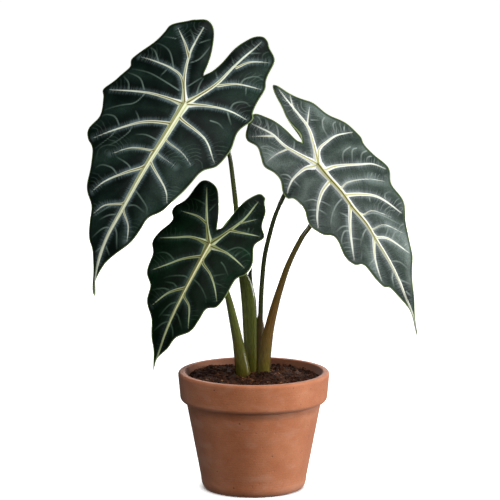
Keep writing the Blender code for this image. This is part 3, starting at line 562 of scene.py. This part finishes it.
SILVER_LOOK = {
    **DARK_LOOK, "gloss": 0.2, "roughness": 0.45, "outward": 0.5, "loops": 0.6,
    "tissue": [(0.12, "#18231f"), (0.4, "#3f4b45"), (0.65, "#616e68"), (0.95, "#728079")],
    "comb": 0.32, "comb_reach": 7.0, "comb_colour": "#a0abac",
    "halo": 0.5, "halo_colour": "#aeb9ba",
    "fine": 0.6, "fine_colour": "#a9b5ae",
    "margin": [(0.0, "#a4ad7c"), (0.14, "#6b7d4c"), (0.3, "#1c2a1c"), (0.55, "#3a4a40"), (1.0, "#5a6862")],
    # Midrib ramp from its left flank to its right: painted light makes the right flank a little lighter than
    # the left.
    "midrib": [(0.0, "#eef0ea"), (0.18, "#c9cbb4"), (0.36, "#b2ae66"), (0.46, "#3a3616"), (0.54, "#5a5524"),
               (0.66, "#c5c27c"), (0.82, "#e4e6d6"), (1.0, "#f8faf6")],
    "lateral": [(0.0, "#fafcfa"), (0.25, "#ecefe6"), (0.42, "#c5c27c"), (0.58, "#c5c27c"), (0.74, "#ecefe6"),
                (1.0, "#fafcfa")],
    "vein": "#e4e9da",
}

# ---------------------------------------------------------------- shapes


def smooth_curve(points, per_span):
    """A Catmull-Rom curve through points of any width, per_span samples for each span."""
    rows = np.array(points, float)
    rows = np.vstack([2 * rows[0] - rows[1], rows, 2 * rows[-1] - rows[-2]])
    t = np.linspace(0, 1, per_span, endpoint=False)[:, None]
    spans = [
        0.5 * (2 * b + (c - a) * t + (2 * a - 5 * b + 4 * c - d) * t**2 + (3 * b - a - 3 * c + d) * t**3)
        for a, b, c, d in zip(rows, rows[1:], rows[2:], rows[3:])
    ]
    return np.vstack([*spans, rows[-2:-1]])


def along(curve):
    """Distance along a curve at each of its points."""
    return np.concatenate([[0], np.cumsum(np.linalg.norm(np.diff(curve, axis=0), axis=1))])


def evenly(curve, spacing):
    """The same curve with points about spacing apart, and their distance along it."""
    run = along(curve[:, :2])
    marks = np.linspace(0, run[-1], max(3, int(run[-1] / spacing) + 1))
    return np.stack([np.interp(marks, run, column) for column in curve.T], axis=1), marks


def rounded(points, cuts=2):
    """A line of few points with its corners cut off, again and again, until it is a smooth arc."""
    line = np.array(points, float)
    for _ in range(cuts):
        near, far = line[:-1] * 0.75 + line[1:] * 0.25, line[:-1] * 0.25 + line[1:] * 0.75
        line = np.vstack([line[:1], np.stack([near, far], 1).reshape(-1, 2)[1:-1], line[-1:]])
    return line


def nearest(lines, points):
    """For each point, the nearest of several (half width, taper, points) lines, measured to the line's edge.

    Gives the distance to its centre, the side, its half width, the share and run along it, and its number.
    """
    samples = []
    for number, (half, taper, line) in enumerate(lines):
        curve, run = evenly(smooth_curve(line, 12), SAMPLE_STEP)
        tangent = np.gradient(curve, axis=0)
        tangent /= np.linalg.norm(tangent, axis=1)[:, None]
        share = run / run[-1]
        width = half * (1 - taper * share ** 0.8)
        samples.append(np.column_stack([curve, tangent, width, share, run, np.full(len(run), number)]))
    samples = np.vstack(samples)
    found = {key: [] for key in ("distance", "side", "half", "share", "run", "number")}
    for start in range(0, len(points), BATCH):
        part = points[start:start + BATCH]
        gap = np.hypot(part[:, None, 0] - samples[None, :, 0], part[:, None, 1] - samples[None, :, 1])
        pick = samples[np.argmin(gap - samples[None, :, 4], axis=1)]
        off = part - pick[:, :2]
        sideways = pick[:, 2] * off[:, 1] - pick[:, 3] * off[:, 0]
        lengthways = np.abs(pick[:, 2] * off[:, 0] + pick[:, 3] * off[:, 1])
        found["distance"].append(np.hypot(sideways, np.maximum(lengthways - SAMPLE_SLACK, 0)))
        found["side"].append(sideways)
        for key, column in (("half", 4), ("share", 5), ("run", 6), ("number", 7)):
            found[key].append(pick[:, column])
    return {key: np.concatenate(values) for key, values in found.items()}


def finish_piece(name, mesh, materials, nodes, angle=None):
    """Links a mesh as a smooth piece with its materials, on the body, standing for its CAD nodes."""
    made = bpy.data.objects.new(name, mesh)
    bpy.context.scene.collection.objects.link(made)
    for one in materials:
        mesh.materials.append(one)
    mesh.shade_smooth()
    if angle:
        mesh.set_sharp_from_angle(angle=math.radians(angle))
    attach(made, "root")
    if nodes:
        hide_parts(*nodes)
    return made


def new_mesh(name, verts, faces):
    """A mesh from vertices in millimetres, one array after the other, and faces."""
    mesh = bpy.data.meshes.new(name)
    mesh.from_pydata((np.vstack(verts) * MM).tolist(), [], faces)
    return mesh


def grid_faces(numbers):
    """The four-sided faces of a grid of vertex numbers."""
    corners = numbers[:-1, :-1], numbers[:-1, 1:], numbers[1:, 1:], numbers[1:, :-1]
    return np.stack(corners, -1).reshape(-1, 4)


def store(mesh, name, values):
    """Keeps one number a vertex on a mesh, or one vector, for its material to read."""
    kind, field = ("FLOAT", "value") if values.ndim == 1 else ("FLOAT_VECTOR", "vector")
    mesh.attributes.new(name, kind, "POINT").data.foreach_set(field, values.astype(np.float32).ravel())


def blade_rows(blade, length, side):
    """Rows of (u, v) points from the midrib out to one margin, following the way the side ribs run."""
    margin = smooth_curve(blade[side], 24)
    midrib = smooth_curve(blade["midrib"], 24)
    lead = blade["rib_lead"]
    forward = int(np.argmax((margin[:, 0] > lead) & (np.arange(len(margin)) > len(margin) // 3)))
    lobe, rest = margin[: forward + 1], margin[forward:]
    run = along(lobe)
    marks = np.linspace(0, run[-1], int(run[-1] / MARGIN_SPACING))[:-1]
    ends = [(np.zeros(2), np.array([np.interp(mark, run, column) for column in lobe.T])) for mark in marks]
    for u in np.linspace(lead, length, int((length - lead) / MARGIN_SPACING)):
        root = u - lead * (1 - (u / length) ** 4) / (1 - (lead / length) ** 4)
        foot = np.array([root, np.interp(root, midrib[:, 0], midrib[:, 1])])
        ends.append((foot, np.array([u, np.interp(u, rest[:, 0], rest[:, 1])])))
    steps = np.linspace(0, 1, ACROSS + 1)[:, None]
    return np.stack([foot + (tip - foot) * steps for foot, tip in ends])


def blade_relief(blade, uv):
    """Height of the upper face above the plain bowed one, thickness, and the fields its materials read."""
    lines = [(half, VEIN_TAPER, line) for half, line in blade["veins"]]
    ribs = nearest(lines, uv)
    leaders = nearest([line for line in lines if line[0] >= MAIN_RIB], uv)
    fine = nearest([(0.1, 0.0, rounded(line)) for line in blade["fine"]], uv)
    margin = nearest([(0.0, 0.0, blade["right"]), (0.0, 0.0, blade["left"])], uv)
    # The veins flare and run together where they meet on the stalk.
    hub = np.hypot(*uv.T)
    edge = ribs["distance"] - ribs["half"] - HUB_FLARE * np.exp(-(hub / HUB_REACH) ** 2)
    across = np.clip(ribs["side"] / ribs["half"], -1.5, 1.5)
    inside = np.sqrt(np.clip(1 - across**2, 0, 1)) * (edge < 0)
    near_margin = np.clip(margin["distance"] / 9, 0, 1)
    quilt = 1 - np.exp(-np.maximum(edge, 0) / QUILT_RISE)
    quilt *= near_margin * (3 - 2 * near_margin) * near_margin
    fine_fade = np.clip(1.15 - fine["share"], 0, 1) * np.clip(margin["distance"] / 3, 0, 1)
    ripple = np.clip(1 - margin["distance"] / RIPPLE_REACH, 0, 1) ** 2
    ripple *= np.sin(2 * math.pi * margin["run"] / RIPPLE_LENGTH + 2.2 * margin["number"])
    lift = QUILT_HEIGHT * quilt + RIB_HEIGHT * ribs["half"] * inside + RIPPLE_HEIGHT * ripple
    groove = np.exp(-(across / 0.25) ** 2) * np.clip(1 - 1.6 * ribs["share"], 0, 1) * (ribs["number"] > 0)
    lift -= RIB_GROOVE * ribs["half"] * groove * (edge < 0)
    lift -= FINE_GROOVE * np.exp(-(fine["distance"] / FINE_GROOVE_REACH) ** 2) * fine_fade
    keel = np.exp(-(ribs["distance"] / (1.1 * ribs["half"] + 0.3)) ** 2)
    thick = LAMINA + RIB_KEEL * ribs["half"] * keel * near_margin
    # Loops: fine arcs round the outer end of each side vein, on the side towards the base of the blade.
    ends = [smooth_curve(line, 12)[[-4, -1]] for half, line in blade["veins"][1:] if half > 0.55]
    gaps = np.stack([np.hypot(*(uv - end[1]).T) for end in ends])
    pick = np.argmin(gaps, axis=0)
    outer = np.array([end[1] for end in ends])[pick]
    run = np.array([(end[1] - end[0]) / np.linalg.norm(end[1] - end[0]) for end in ends])[pick]
    baseward = np.column_stack([-np.abs(run[:, 1]), np.sign(run[:, 1]) * run[:, 0]])
    loop = gaps.min(axis=0)
    loop_fade = np.clip(((uv - outer) * baseward).sum(axis=1) / 4, 0, 1)
    loop_fade *= np.clip(margin["distance"] / 4, 0, 1)
    loop_fade *= np.clip((loop - LOOP_START) / 4, 0, 1) * np.clip((LOOP_END - loop) / 12, 0, 1)
    fields = {
        "loop": loop + 0.35 * margin["distance"], "loop_fade": loop_fade,
        "vein_edge": edge, "vein_across": across, "vein_share": ribs["share"],
        "vein_run": ribs["run"] + COMB_SHIFT * ribs["number"], "is_midrib": (ribs["number"] == 0) * 1.0,
        "from_ribs": leaders["distance"], "fine_edge": fine["distance"], "fine_fade": fine_fade,
        "from_margin": margin["distance"],
    }
    return lift, thick, fields


def make_blade(name, upper, under):
    """A blade: a quilted upper face, an under face that the veins stand out of, and a rim between them."""
    blade = BLADES[name]
    start, tip = Vector(blade["junction"]), Vector(blade["tip"])
    length = (tip - start).length
    u_axis = (tip - start) / length
    outward = Vector(blade["facing"])
    outward = (outward - u_axis * outward.dot(u_axis)).normalized()
    v_axis = outward.cross(u_axis)
    grids = [blade_rows(blade, length, side) for side in ("right", "left")]
    uv = np.vstack([grid.reshape(-1, 2) for grid in grids])
    lift, thick, fields = blade_relief(blade, uv)
    rise = blade["bow"] * np.sin(math.pi * uv[:, 0] / length)
    rise -= blade["fall"] * (uv[:, 1] / blade["half_width"]) ** 2
    flat = np.array(start) + uv[:, :1] * np.array(u_axis) + uv[:, 1:] * np.array(v_axis)
    front = flat + (rise + lift)[:, None] * np.array(outward)
    back = front - thick[:, None] * np.array(outward)
    faces, finishes = [], []
    first, count = 0, len(uv)
    for grid, turn in zip(grids, (1, -1)):
        numbers = first + np.arange(grid.shape[0] * grid.shape[1]).reshape(grid.shape[:2])
        first += numbers.size
        quads = grid_faces(numbers)
        here, onward = numbers[:-1, -1], numbers[1:, -1]
        rim = np.stack([here, here + count, onward + count, onward], -1)
        faces += [quads[:, ::turn], (quads + count)[:, ::-turn], rim[:, ::turn]]
        finishes += [np.zeros(len(quads)), np.ones(len(quads)), np.zeros(len(rim))]
    mesh = new_mesh(name, [front, back], np.vstack(faces).tolist())
    mesh.polygons.foreach_set("material_index", np.concatenate(finishes).astype(np.int32))
    for field, values in fields.items():
        store(mesh, field, np.concatenate([values, values]))
    weld(finish_piece(f"{name}_skin", mesh, [upper, under], [name]))


def weld(made):
    """Joins doubled vertices and turns every face of a closed shell outwards."""
    bpy.context.view_layer.objects.active = made
    made.select_set(True)
    bpy.ops.object.mode_set(mode="EDIT")
    bpy.ops.mesh.select_all(action="SELECT")
    bpy.ops.mesh.remove_doubles(threshold=WELD_DISTANCE)
    bpy.ops.mesh.dissolve_degenerate(threshold=WELD_DISTANCE)
    bpy.ops.mesh.normals_make_consistent(inside=False)
    bpy.ops.object.mode_set(mode="OBJECT")
    made.select_set(False)


def sweep(path, section, per_span, sides):
    """Vertices, faces and fields of a closed tube along a path: section(share, angles) scales its ellipse."""
    curve = smooth_curve(path, per_span)
    run = along(curve[:, :3])
    angles = np.linspace(0, 2 * math.pi, sides, endpoint=False)
    before, after = np.vstack([curve[:1], curve[:-1]]), np.vstack([curve[1:], curve[-1:]])
    forward = (after - before)[:, :3]
    forward /= np.linalg.norm(forward, axis=1)[:, None]
    across = np.array([1.0, 0, 0]) - forward * forward[:, :1]
    across /= np.linalg.norm(across, axis=1)[:, None]
    depth = np.cross(forward, across)
    verts, share, around = [], [], []
    for k, row in enumerate(curve):
        part = run[k] / run[-1]
        reach = section(part, angles)[:, None]
        wide = np.cos(angles)[:, None] * row[3] * across[k]
        deep = np.sin(angles)[:, None] * row[4] * depth[k]
        verts.append(row[:3] + reach * (wide + deep))
        share.append(np.full(sides, part))
        around.append(np.column_stack([np.cos(angles), np.sin(angles), np.full(sides, run[k] * FIBRE_RUN)]))
    numbers = np.arange(len(curve) * sides).reshape(len(curve), sides)
    faces = grid_faces(np.column_stack([numbers, numbers[:, 0]])).tolist()
    faces += [numbers[0][::-1].tolist(), numbers[-1].tolist()]
    return verts, faces, np.concatenate(share), np.vstack(around)


def make_stalk(name, skin, section, path=None):
    """A leaf stalk or a piece of one, swept along its line with the section it really has."""
    verts, faces, share, around = sweep(path or STALKS[name], section, 12, 40)
    mesh = new_mesh(name, verts, faces)
    store(mesh, "share", share)
    store(mesh, "around", around)
    finish_piece(f"{name}_skin", mesh, [skin], [name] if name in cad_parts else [])


def plain_section(part, angles):
    """Nearly round, with faint lengthwise flats."""
    return 1 + 0.03 * np.cos(3 * angles + 0.6) + 0.015 * np.cos(7 * angles)


def flat_section(part, angles):
    """A flap: plain and flat-sided."""
    return np.ones(len(angles))


def sheathed_section(part, angles):
    """The stalk lies along the left of its own broad sheath, creased between them up to where it leaves."""
    crease = np.exp(-((angles - 1.36 * math.pi) / 0.16) ** 2)
    return plain_section(part, angles) - 0.22 * crease * np.clip((0.40 - part) / 0.05, 0, 1)


def make_scale_leaf(skin):
    """The papery sleeve round the young stalk: a curled sheet, ribbed lengthwise, with a torn pointed top."""
    rows, columns = 90, 60
    path = smooth_curve(SCALE_SLEEVE, 16)
    up = along(path[:, :3])
    turns = np.linspace(-math.pi / 2 - SCALE_ARC / 2, -math.pi / 2 + SCALE_ARC / 2, columns + 1)
    round_it = (turns + math.pi / 2) / (SCALE_ARC / 2)
    torn = 0.95 - 0.30 * np.abs(round_it + 0.15) ** 1.3
    torn += 0.025 * np.sin(19 * turns) + 0.015 * np.sin(43 * turns)
    height = np.linspace(0, 1, rows + 1)[:, None] * torn[None, :] * up[-1]
    x, y, z, radius = (np.interp(height, up, column) for column in path.T)
    loose = SCALE_LOOSE * (height / up[-1]) ** 4
    ribs = 0.10 * np.sin(34 * turns) + 0.07 * np.sin(57 * turns + 1.3)
    verts = []
    for inward in (0.0, SCALE_THICKNESS):
        reach = radius + ribs + loose - SCALE_TUCK - inward
        verts.append(np.stack([x + reach * np.cos(turns), y + reach * np.sin(turns), z], -1).reshape(-1, 3))
    numbers = np.arange((rows + 1) * (columns + 1)).reshape(rows + 1, columns + 1)
    count = numbers.size
    quads = grid_faces(numbers)
    border = np.concatenate([numbers[0, :-1], numbers[:-1, -1], numbers[-1, :0:-1], numbers[:0:-1, 0]])
    follow = np.roll(border, -1)
    rim = np.stack([border, border + count, follow + count, follow], -1)
    mesh = new_mesh("scale_leaf", verts, np.vstack([quads, (quads + count)[:, ::-1], rim]).tolist())
    columns_round = np.tile(np.stack([np.cos(turns), np.sin(turns)], -1), (rows + 1, 1))
    place = np.column_stack([columns_round, height.ravel() * FIBRE_RUN])
    store(mesh, "around", np.vstack([place, place]))
    store(mesh, "share", np.tile((height / up[-1]).ravel(), 2))
    weld(finish_piece("scale_leaf_skin", mesh, [skin], ["scale_leaf"]))


# ---------------------------------------------------------------- pieces


def rounding(corner, reach, first, last, steps):
    """A rounded outer corner of a turned profile. The corner is where its two sides would meet, the reach
    is how far in and up (or down, if negative) the rounding goes, and the angles are from straight out."""
    turns = np.radians(np.linspace(first, last, steps + 1))
    centre = (corner[0] - reach[0], corner[1] + reach[1])
    return [(centre[0] + reach[0] * math.cos(a), centre[1] + abs(reach[1]) * math.sin(a)) for a in turns]


def inner_radius(height):
    """Radius of the pot's inside at a height above its foot."""
    share = (height - FLOOR) / (POT_HEIGHT - FLOOR)
    foot = BODY_FOOT_RADIUS - WALL + 1.0
    return foot + share * (RIM_RADIUS - WALL - foot)


def make_pot(skin):
    """The pot, raised ring by ring from the drainage hole, up the outside, over the rim and down inside."""
    collar_foot = POT_HEIGHT - COLLAR_HEIGHT
    slope = (BODY_TOP_RADIUS - BODY_FOOT_RADIUS) / collar_foot
    foot_side = BODY_FOOT_RADIUS + slope * FOOT_ROUNDING[1]
    collar_height = COLLAR_HEIGHT - COLLAR_ROUNDING - RIM_ROUNDING
    outside = [
        (DRAIN_RADIUS, 0.0), (30.0, 0.0),
        *rounding((foot_side, 0.0), FOOT_ROUNDING, -90, -6, 12),
        *[(BODY_FOOT_RADIUS + slope * h, h)
          for h in np.linspace(FOOT_ROUNDING[1] + 2, collar_foot - 3.0, 14)],
        *[(BODY_TOP_RADIUS + COLLAR_FILLET * (1 - math.cos(a)),
           collar_foot - COLLAR_FILLET * (1 - math.sin(a))) for a in np.linspace(0, 1.3, 5)],
        *rounding((COLLAR_FOOT_RADIUS, collar_foot), (COLLAR_ROUNDING, COLLAR_ROUNDING), -82, 0, 8),
        *[(COLLAR_FOOT_RADIUS + (RIM_RADIUS - COLLAR_FOOT_RADIUS) * s,
           collar_foot + COLLAR_ROUNDING + collar_height * s) for s in np.linspace(0.15, 0.95, 5)],
        *rounding((RIM_RADIUS, POT_HEIGHT), (RIM_ROUNDING, -RIM_ROUNDING), 0, 90, 7),
    ]
    inside = [
        *[(RIM_RADIUS - WALL + INNER_RIM_ROUNDING * (1 - math.sin(a)),
           POT_HEIGHT - INNER_RIM_ROUNDING * (1 - math.cos(a))) for a in np.linspace(0, math.pi / 2, 6)],
        *[(inner_radius(h), h) for h in np.linspace(POT_HEIGHT - 6, FLOOR + 6, 12)],
        (inner_radius(FLOOR) - 4.0, FLOOR), (DRAIN_RADIUS, FLOOR),
    ]
    profile = [*outside, *inside]
    bpy.ops.mesh.primitive_circle_add(vertices=POT_SIDES, radius=profile[0][0] * MM, location=(0, 0, 0))
    made = bpy.context.object
    made.name = made.data.name = "clay_pot"
    bpy.ops.object.mode_set(mode="EDIT")
    for (radius, height), (wider, higher) in zip(profile, profile[1:]):
        bpy.ops.mesh.extrude_region_move(TRANSFORM_OT_translate={"value": (0, 0, (higher - height) * MM)})
        growth = wider / radius
        bpy.ops.transform.resize(value=(growth, growth, 1), center_override=(0, 0, higher * MM))
    bpy.ops.mesh.select_all(action="DESELECT")
    bpy.ops.mesh.select_non_manifold()
    bpy.ops.mesh.bridge_edge_loops()
    bpy.ops.mesh.select_all(action="SELECT")
    bpy.ops.mesh.normals_make_consistent(inside=False)
    bpy.ops.object.mode_set(mode="OBJECT")
    bpy.ops.object.shade_smooth_by_angle(angle=math.radians(50))
    made.data.materials.append(skin)
    made.select_set(False)
    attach(made, "root")
    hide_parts("pot")


def soil_height(x, y):
    """Height of the soil's plain surface, in mm."""
    heaps = sum(lift * np.exp(-((x - hx) ** 2 + (y - hy) ** 2) / (2 * (reach / 1.6) ** 2))
                for hx, hy, reach, lift in SOIL_HEAPS + SOIL_BANKS)
    return SOIL_LEVEL + heaps


def make_soil(skin, crumb_skin, rng):
    """The soil's broken surface over a plain plug, and crumbs of bark lying on it."""
    rings, sides = 96, 240
    edge = inner_radius(SOIL_LEVEL) - SOIL_GAP
    radii = edge * np.linspace(0, 1, rings + 1)[1:]
    turns = np.linspace(0, 2 * math.pi, sides, endpoint=False)
    around = np.column_stack([np.cos(turns), np.sin(turns)])
    x, y = (np.concatenate([[0.0], np.outer(radii, column).ravel()]) for column in around.T)
    rough = np.zeros(len(x))
    for size, height, count in SOIL_SCATTER:
        reach = edge * np.sqrt(rng.random(count))
        turn = 2 * math.pi * rng.random(count)
        lift = height * rng.uniform(-0.8, 1.0, count)
        for cx, cy, one in zip(reach * np.cos(turn), reach * np.sin(turn), lift):
            near = np.flatnonzero((np.abs(x - cx) < 2 * size) & (np.abs(y - cy) < 2 * size))
            rough[near] += one * np.exp(-((x[near] - cx) ** 2 + (y[near] - cy) ** 2) / (0.5 * size**2))
    z = soil_height(x, y) + np.clip(rough, *SOIL_ROUGHNESS)
    top = np.column_stack([x, y, z])
    numbers = 1 + np.arange(rings * sides).reshape(rings, sides)
    nxt = np.roll(numbers, -1, axis=1)
    faces = np.stack([numbers[:-1], numbers[1:], nxt[1:], nxt[:-1]], -1).reshape(-1, 4).tolist()
    faces += [[0, int(numbers[0, k]), int(nxt[0, k])] for k in range(sides)]
    foot_radius = inner_radius(SOIL_FOOT) - SOIL_GAP
    foot = np.column_stack([foot_radius * around, np.full(sides, SOIL_FOOT)])
    below = len(top) + np.arange(sides)
    faces += np.stack([numbers[-1], below, np.roll(below, -1), nxt[-1]], -1).tolist()
    faces.append(below[::-1].tolist())
    mesh = new_mesh("soil", [top, foot], faces)
    finish_piece("soil_surface", mesh, [skin], ["soil"], angle=60)
    make_crumbs(crumb_skin, rng, edge)


def make_crumbs(skin, rng, edge):
    """Crumbs of bark and soil: one small faceted lump, copied at many sizes and turns over the soil."""
    bpy.ops.mesh.primitive_ico_sphere_add(subdivisions=1, radius=1.0)
    lump = bpy.context.object
    shape = np.array([v.co for v in lump.data.vertices])
    sides = np.array([list(p.vertices) for p in lump.data.polygons])
    bpy.data.objects.remove(lump)
    verts, faces, tones = [], [], []
    for k in range(CRUMB_COUNT):
        size = rng.choice(CRUMB_SIZES, p=CRUMB_ODDS)
        away, turn = edge * math.sqrt(rng.random()) - size, 2 * math.pi * rng.random()
        x, y = away * math.cos(turn), away * math.sin(turn)
        stretch = np.array([1.0, rng.uniform(0.4, 0.9), rng.uniform(0.3, 0.7)]) * size
        lumpy = shape * rng.uniform(0.75, 1.25, (len(shape), 1)) * stretch
        spin, tilt = 2 * math.pi * rng.random(), rng.uniform(-0.6, 0.6)
        c, s = math.cos(spin), math.sin(spin)
        turn_z = np.array([[c, -s, 0], [s, c, 0], [0, 0, 1]])
        c, s = math.cos(tilt), math.sin(tilt)
        turn_x = np.array([[1, 0, 0], [0, c, -s], [0, s, c]])
        base = soil_height(x, y) + rng.uniform(0.0, 1.4)
        faces.append(sides + len(shape) * k)
        verts.append(lumpy @ turn_x.T @ turn_z.T + (x, y, base))
        tones.append(np.full(len(shape), rng.beta(1.6, 2.6)))
    mesh = new_mesh("bark_crumbs", verts, np.vstack(faces).tolist())
    store(mesh, "crumb_tone", np.concatenate(tones))
    made = bpy.data.objects.new("bark_crumbs", mesh)
    bpy.context.scene.collection.objects.link(made)
    mesh.materials.append(skin)
    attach(made, "root")


# ---------------------------------------------------------------- studio

CAMERA_ELEVATION = math.radians(9.3)
CAMERA_DISTANCE = 3.2
CAMERA_AIM = Vector((-0.0037, 0.0, 0.23846))


def stage_floor():
    """A pale paper floor that shades softly where the pot meets it."""
    paper, tree, shader = new_material("pale_paper", {
        "Base Color": "#e8e8e8", "Roughness": 0.9, "Emission Color": "#ffffff"})
    near = add(tree, "AmbientOcclusion", {"Distance": 0.014}, samples=8).outputs["AO"]
    glow = add(tree, "MapRange", near, span=(0.2, 0.8, 0.0, 0.95))
    feed(tree, shader, {"Emission Strength": glow})
    bpy.ops.mesh.primitive_plane_add(size=60.0, location=(0, 0, -0.0004))
    floor = bpy.context.object
    floor.name = "studio_floor"
    floor.data.materials.append(paper)
    floor.visible_diffuse = False
    floor.visible_glossy = False
    floor.visible_shadow = False
    floor.select_set(False)


def light_air():
    """Even studio air: bright where the camera sees it, dim as a light, and lighter from below."""
    world = bpy.data.worlds.new("studio_air")
    bpy.context.scene.world = world
    world.use_nodes = True
    tree = world.node_tree
    seen = add(tree, "LightPath").outputs["Is Camera Ray"]
    # The lower half stands for light that the pale floor sends back up.
    toward = add(tree, "SeparateXYZ", add(tree, "TexCoord").outputs["Generated"])
    ambient = add(tree, "MapRange", toward.outputs["Z"], span=(-0.3, 0.1, 0.17, 0.07))
    strength = add(tree, "Mix", {AMOUNT: seen, LOW: ambient, HIGH: 1.0})
    feed(tree, tree.nodes["Background"], {"Strength": strength, "Color": "#ffffff"})


def add_lights():
    """A soft key light low on the right, a weak one behind and a near one above the front."""
    for name, place, aim, size, power in (
        ("key_light", (2.4, -0.45, 0.85), (0.0, 0.0, 0.2), 1.3, 80.0),
        ("back_light", (0.3, 1.8, 0.45), (0.0, 0.0, 0.22), 1.0, 14.0),
        ("front_light", (0.06, -0.92, 1.02), (-0.07, 0.0, 0.30), 0.85, 10.8),
    ):
        bpy.ops.object.light_add(type="AREA", location=place)
        light = bpy.context.object
        light.name = name
        light.data.energy = power
        light.data.size = size
        light.rotation_euler = (Vector(aim) - Vector(place)).to_track_quat("-Z", "Y").to_euler()
        light.select_set(False)


def add_camera():
    """A long lens a little above the plant, looking at its middle from the front."""
    away = Vector((0, -math.cos(CAMERA_ELEVATION), math.sin(CAMERA_ELEVATION)))
    bpy.ops.object.camera_add(location=CAMERA_AIM + away * CAMERA_DISTANCE)
    camera = bpy.context.object
    camera.rotation_euler = (-away).to_track_quat("-Z", "Y").to_euler()
    camera.data.lens = 233.83
    camera.data.sensor_width = 36.0
    camera.data.clip_end = 100.0
    bpy.context.scene.camera = camera
    bpy.context.scene.view_settings.view_transform = "Standard"


def main():
    rng = np.random.default_rng(7)
    make_pot(fired_clay())
    make_soil(potting_mix(), bark_crumbs(), rng)
    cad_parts["corm"].data.materials.clear()
    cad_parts["corm"].data.materials.append(corm_skin())

    # The green skin's foot colour is the stalk's own olive, darkened with painted shade from the right leaf's
    # stalk in front of it.
    green = stalk_skin("green_stalk", "#454010", "#56601f", "#262e12", 0.24)
    brown = stalk_skin("brown_stalk", "#52501f", "#64471a", "#3e4719", 0.22)
    make_stalk("stalk_left_leaf", green, sheathed_section)
    make_stalk("sheath_tip", green, flat_section, SHEATH_TIP)
    make_scale_leaf(stalk_skin("papery_scale", "#5e3c1c", "#573d1d", "#3d3112", 0.35))
    olive = stalk_skin("olive_stalk", "#463a11", "#4e5019", "#66732c", 0.20)
    make_stalk("stalk_small_leaf", olive, plain_section)
    make_stalk("stalk_right_leaf", brown, plain_section)
    dusky = stalk_skin("dusky_stalk", "#3a300e", "#30370e", "#2a310c", 0.24)
    make_stalk("stalk_young_leaf", dusky, plain_section)
    make_stalk("rolled_leaf", green, plain_section, ROLLED_LEAF)

    under = underside_skin("blade_underside", [(0.35, "#4a4448"), (0.65, "#5e5a5c")], "#9aa878")
    pale_under = underside_skin("silver_blade_underside", [(0.35, "#57604f"), (0.65, "#6d7664")], "#acb892")
    make_blade("blade_left_leaf", blade_skin("dark_blade_skin", DARK_LOOK), under)
    make_blade("blade_small_leaf", blade_skin("small_blade_skin", SMALL_LOOK), under)
    make_blade("blade_right_leaf", blade_skin("silver_blade_skin", SILVER_LOOK), pale_under)

    stage_floor()
    light_air()
    add_lights()
    add_camera()


main()
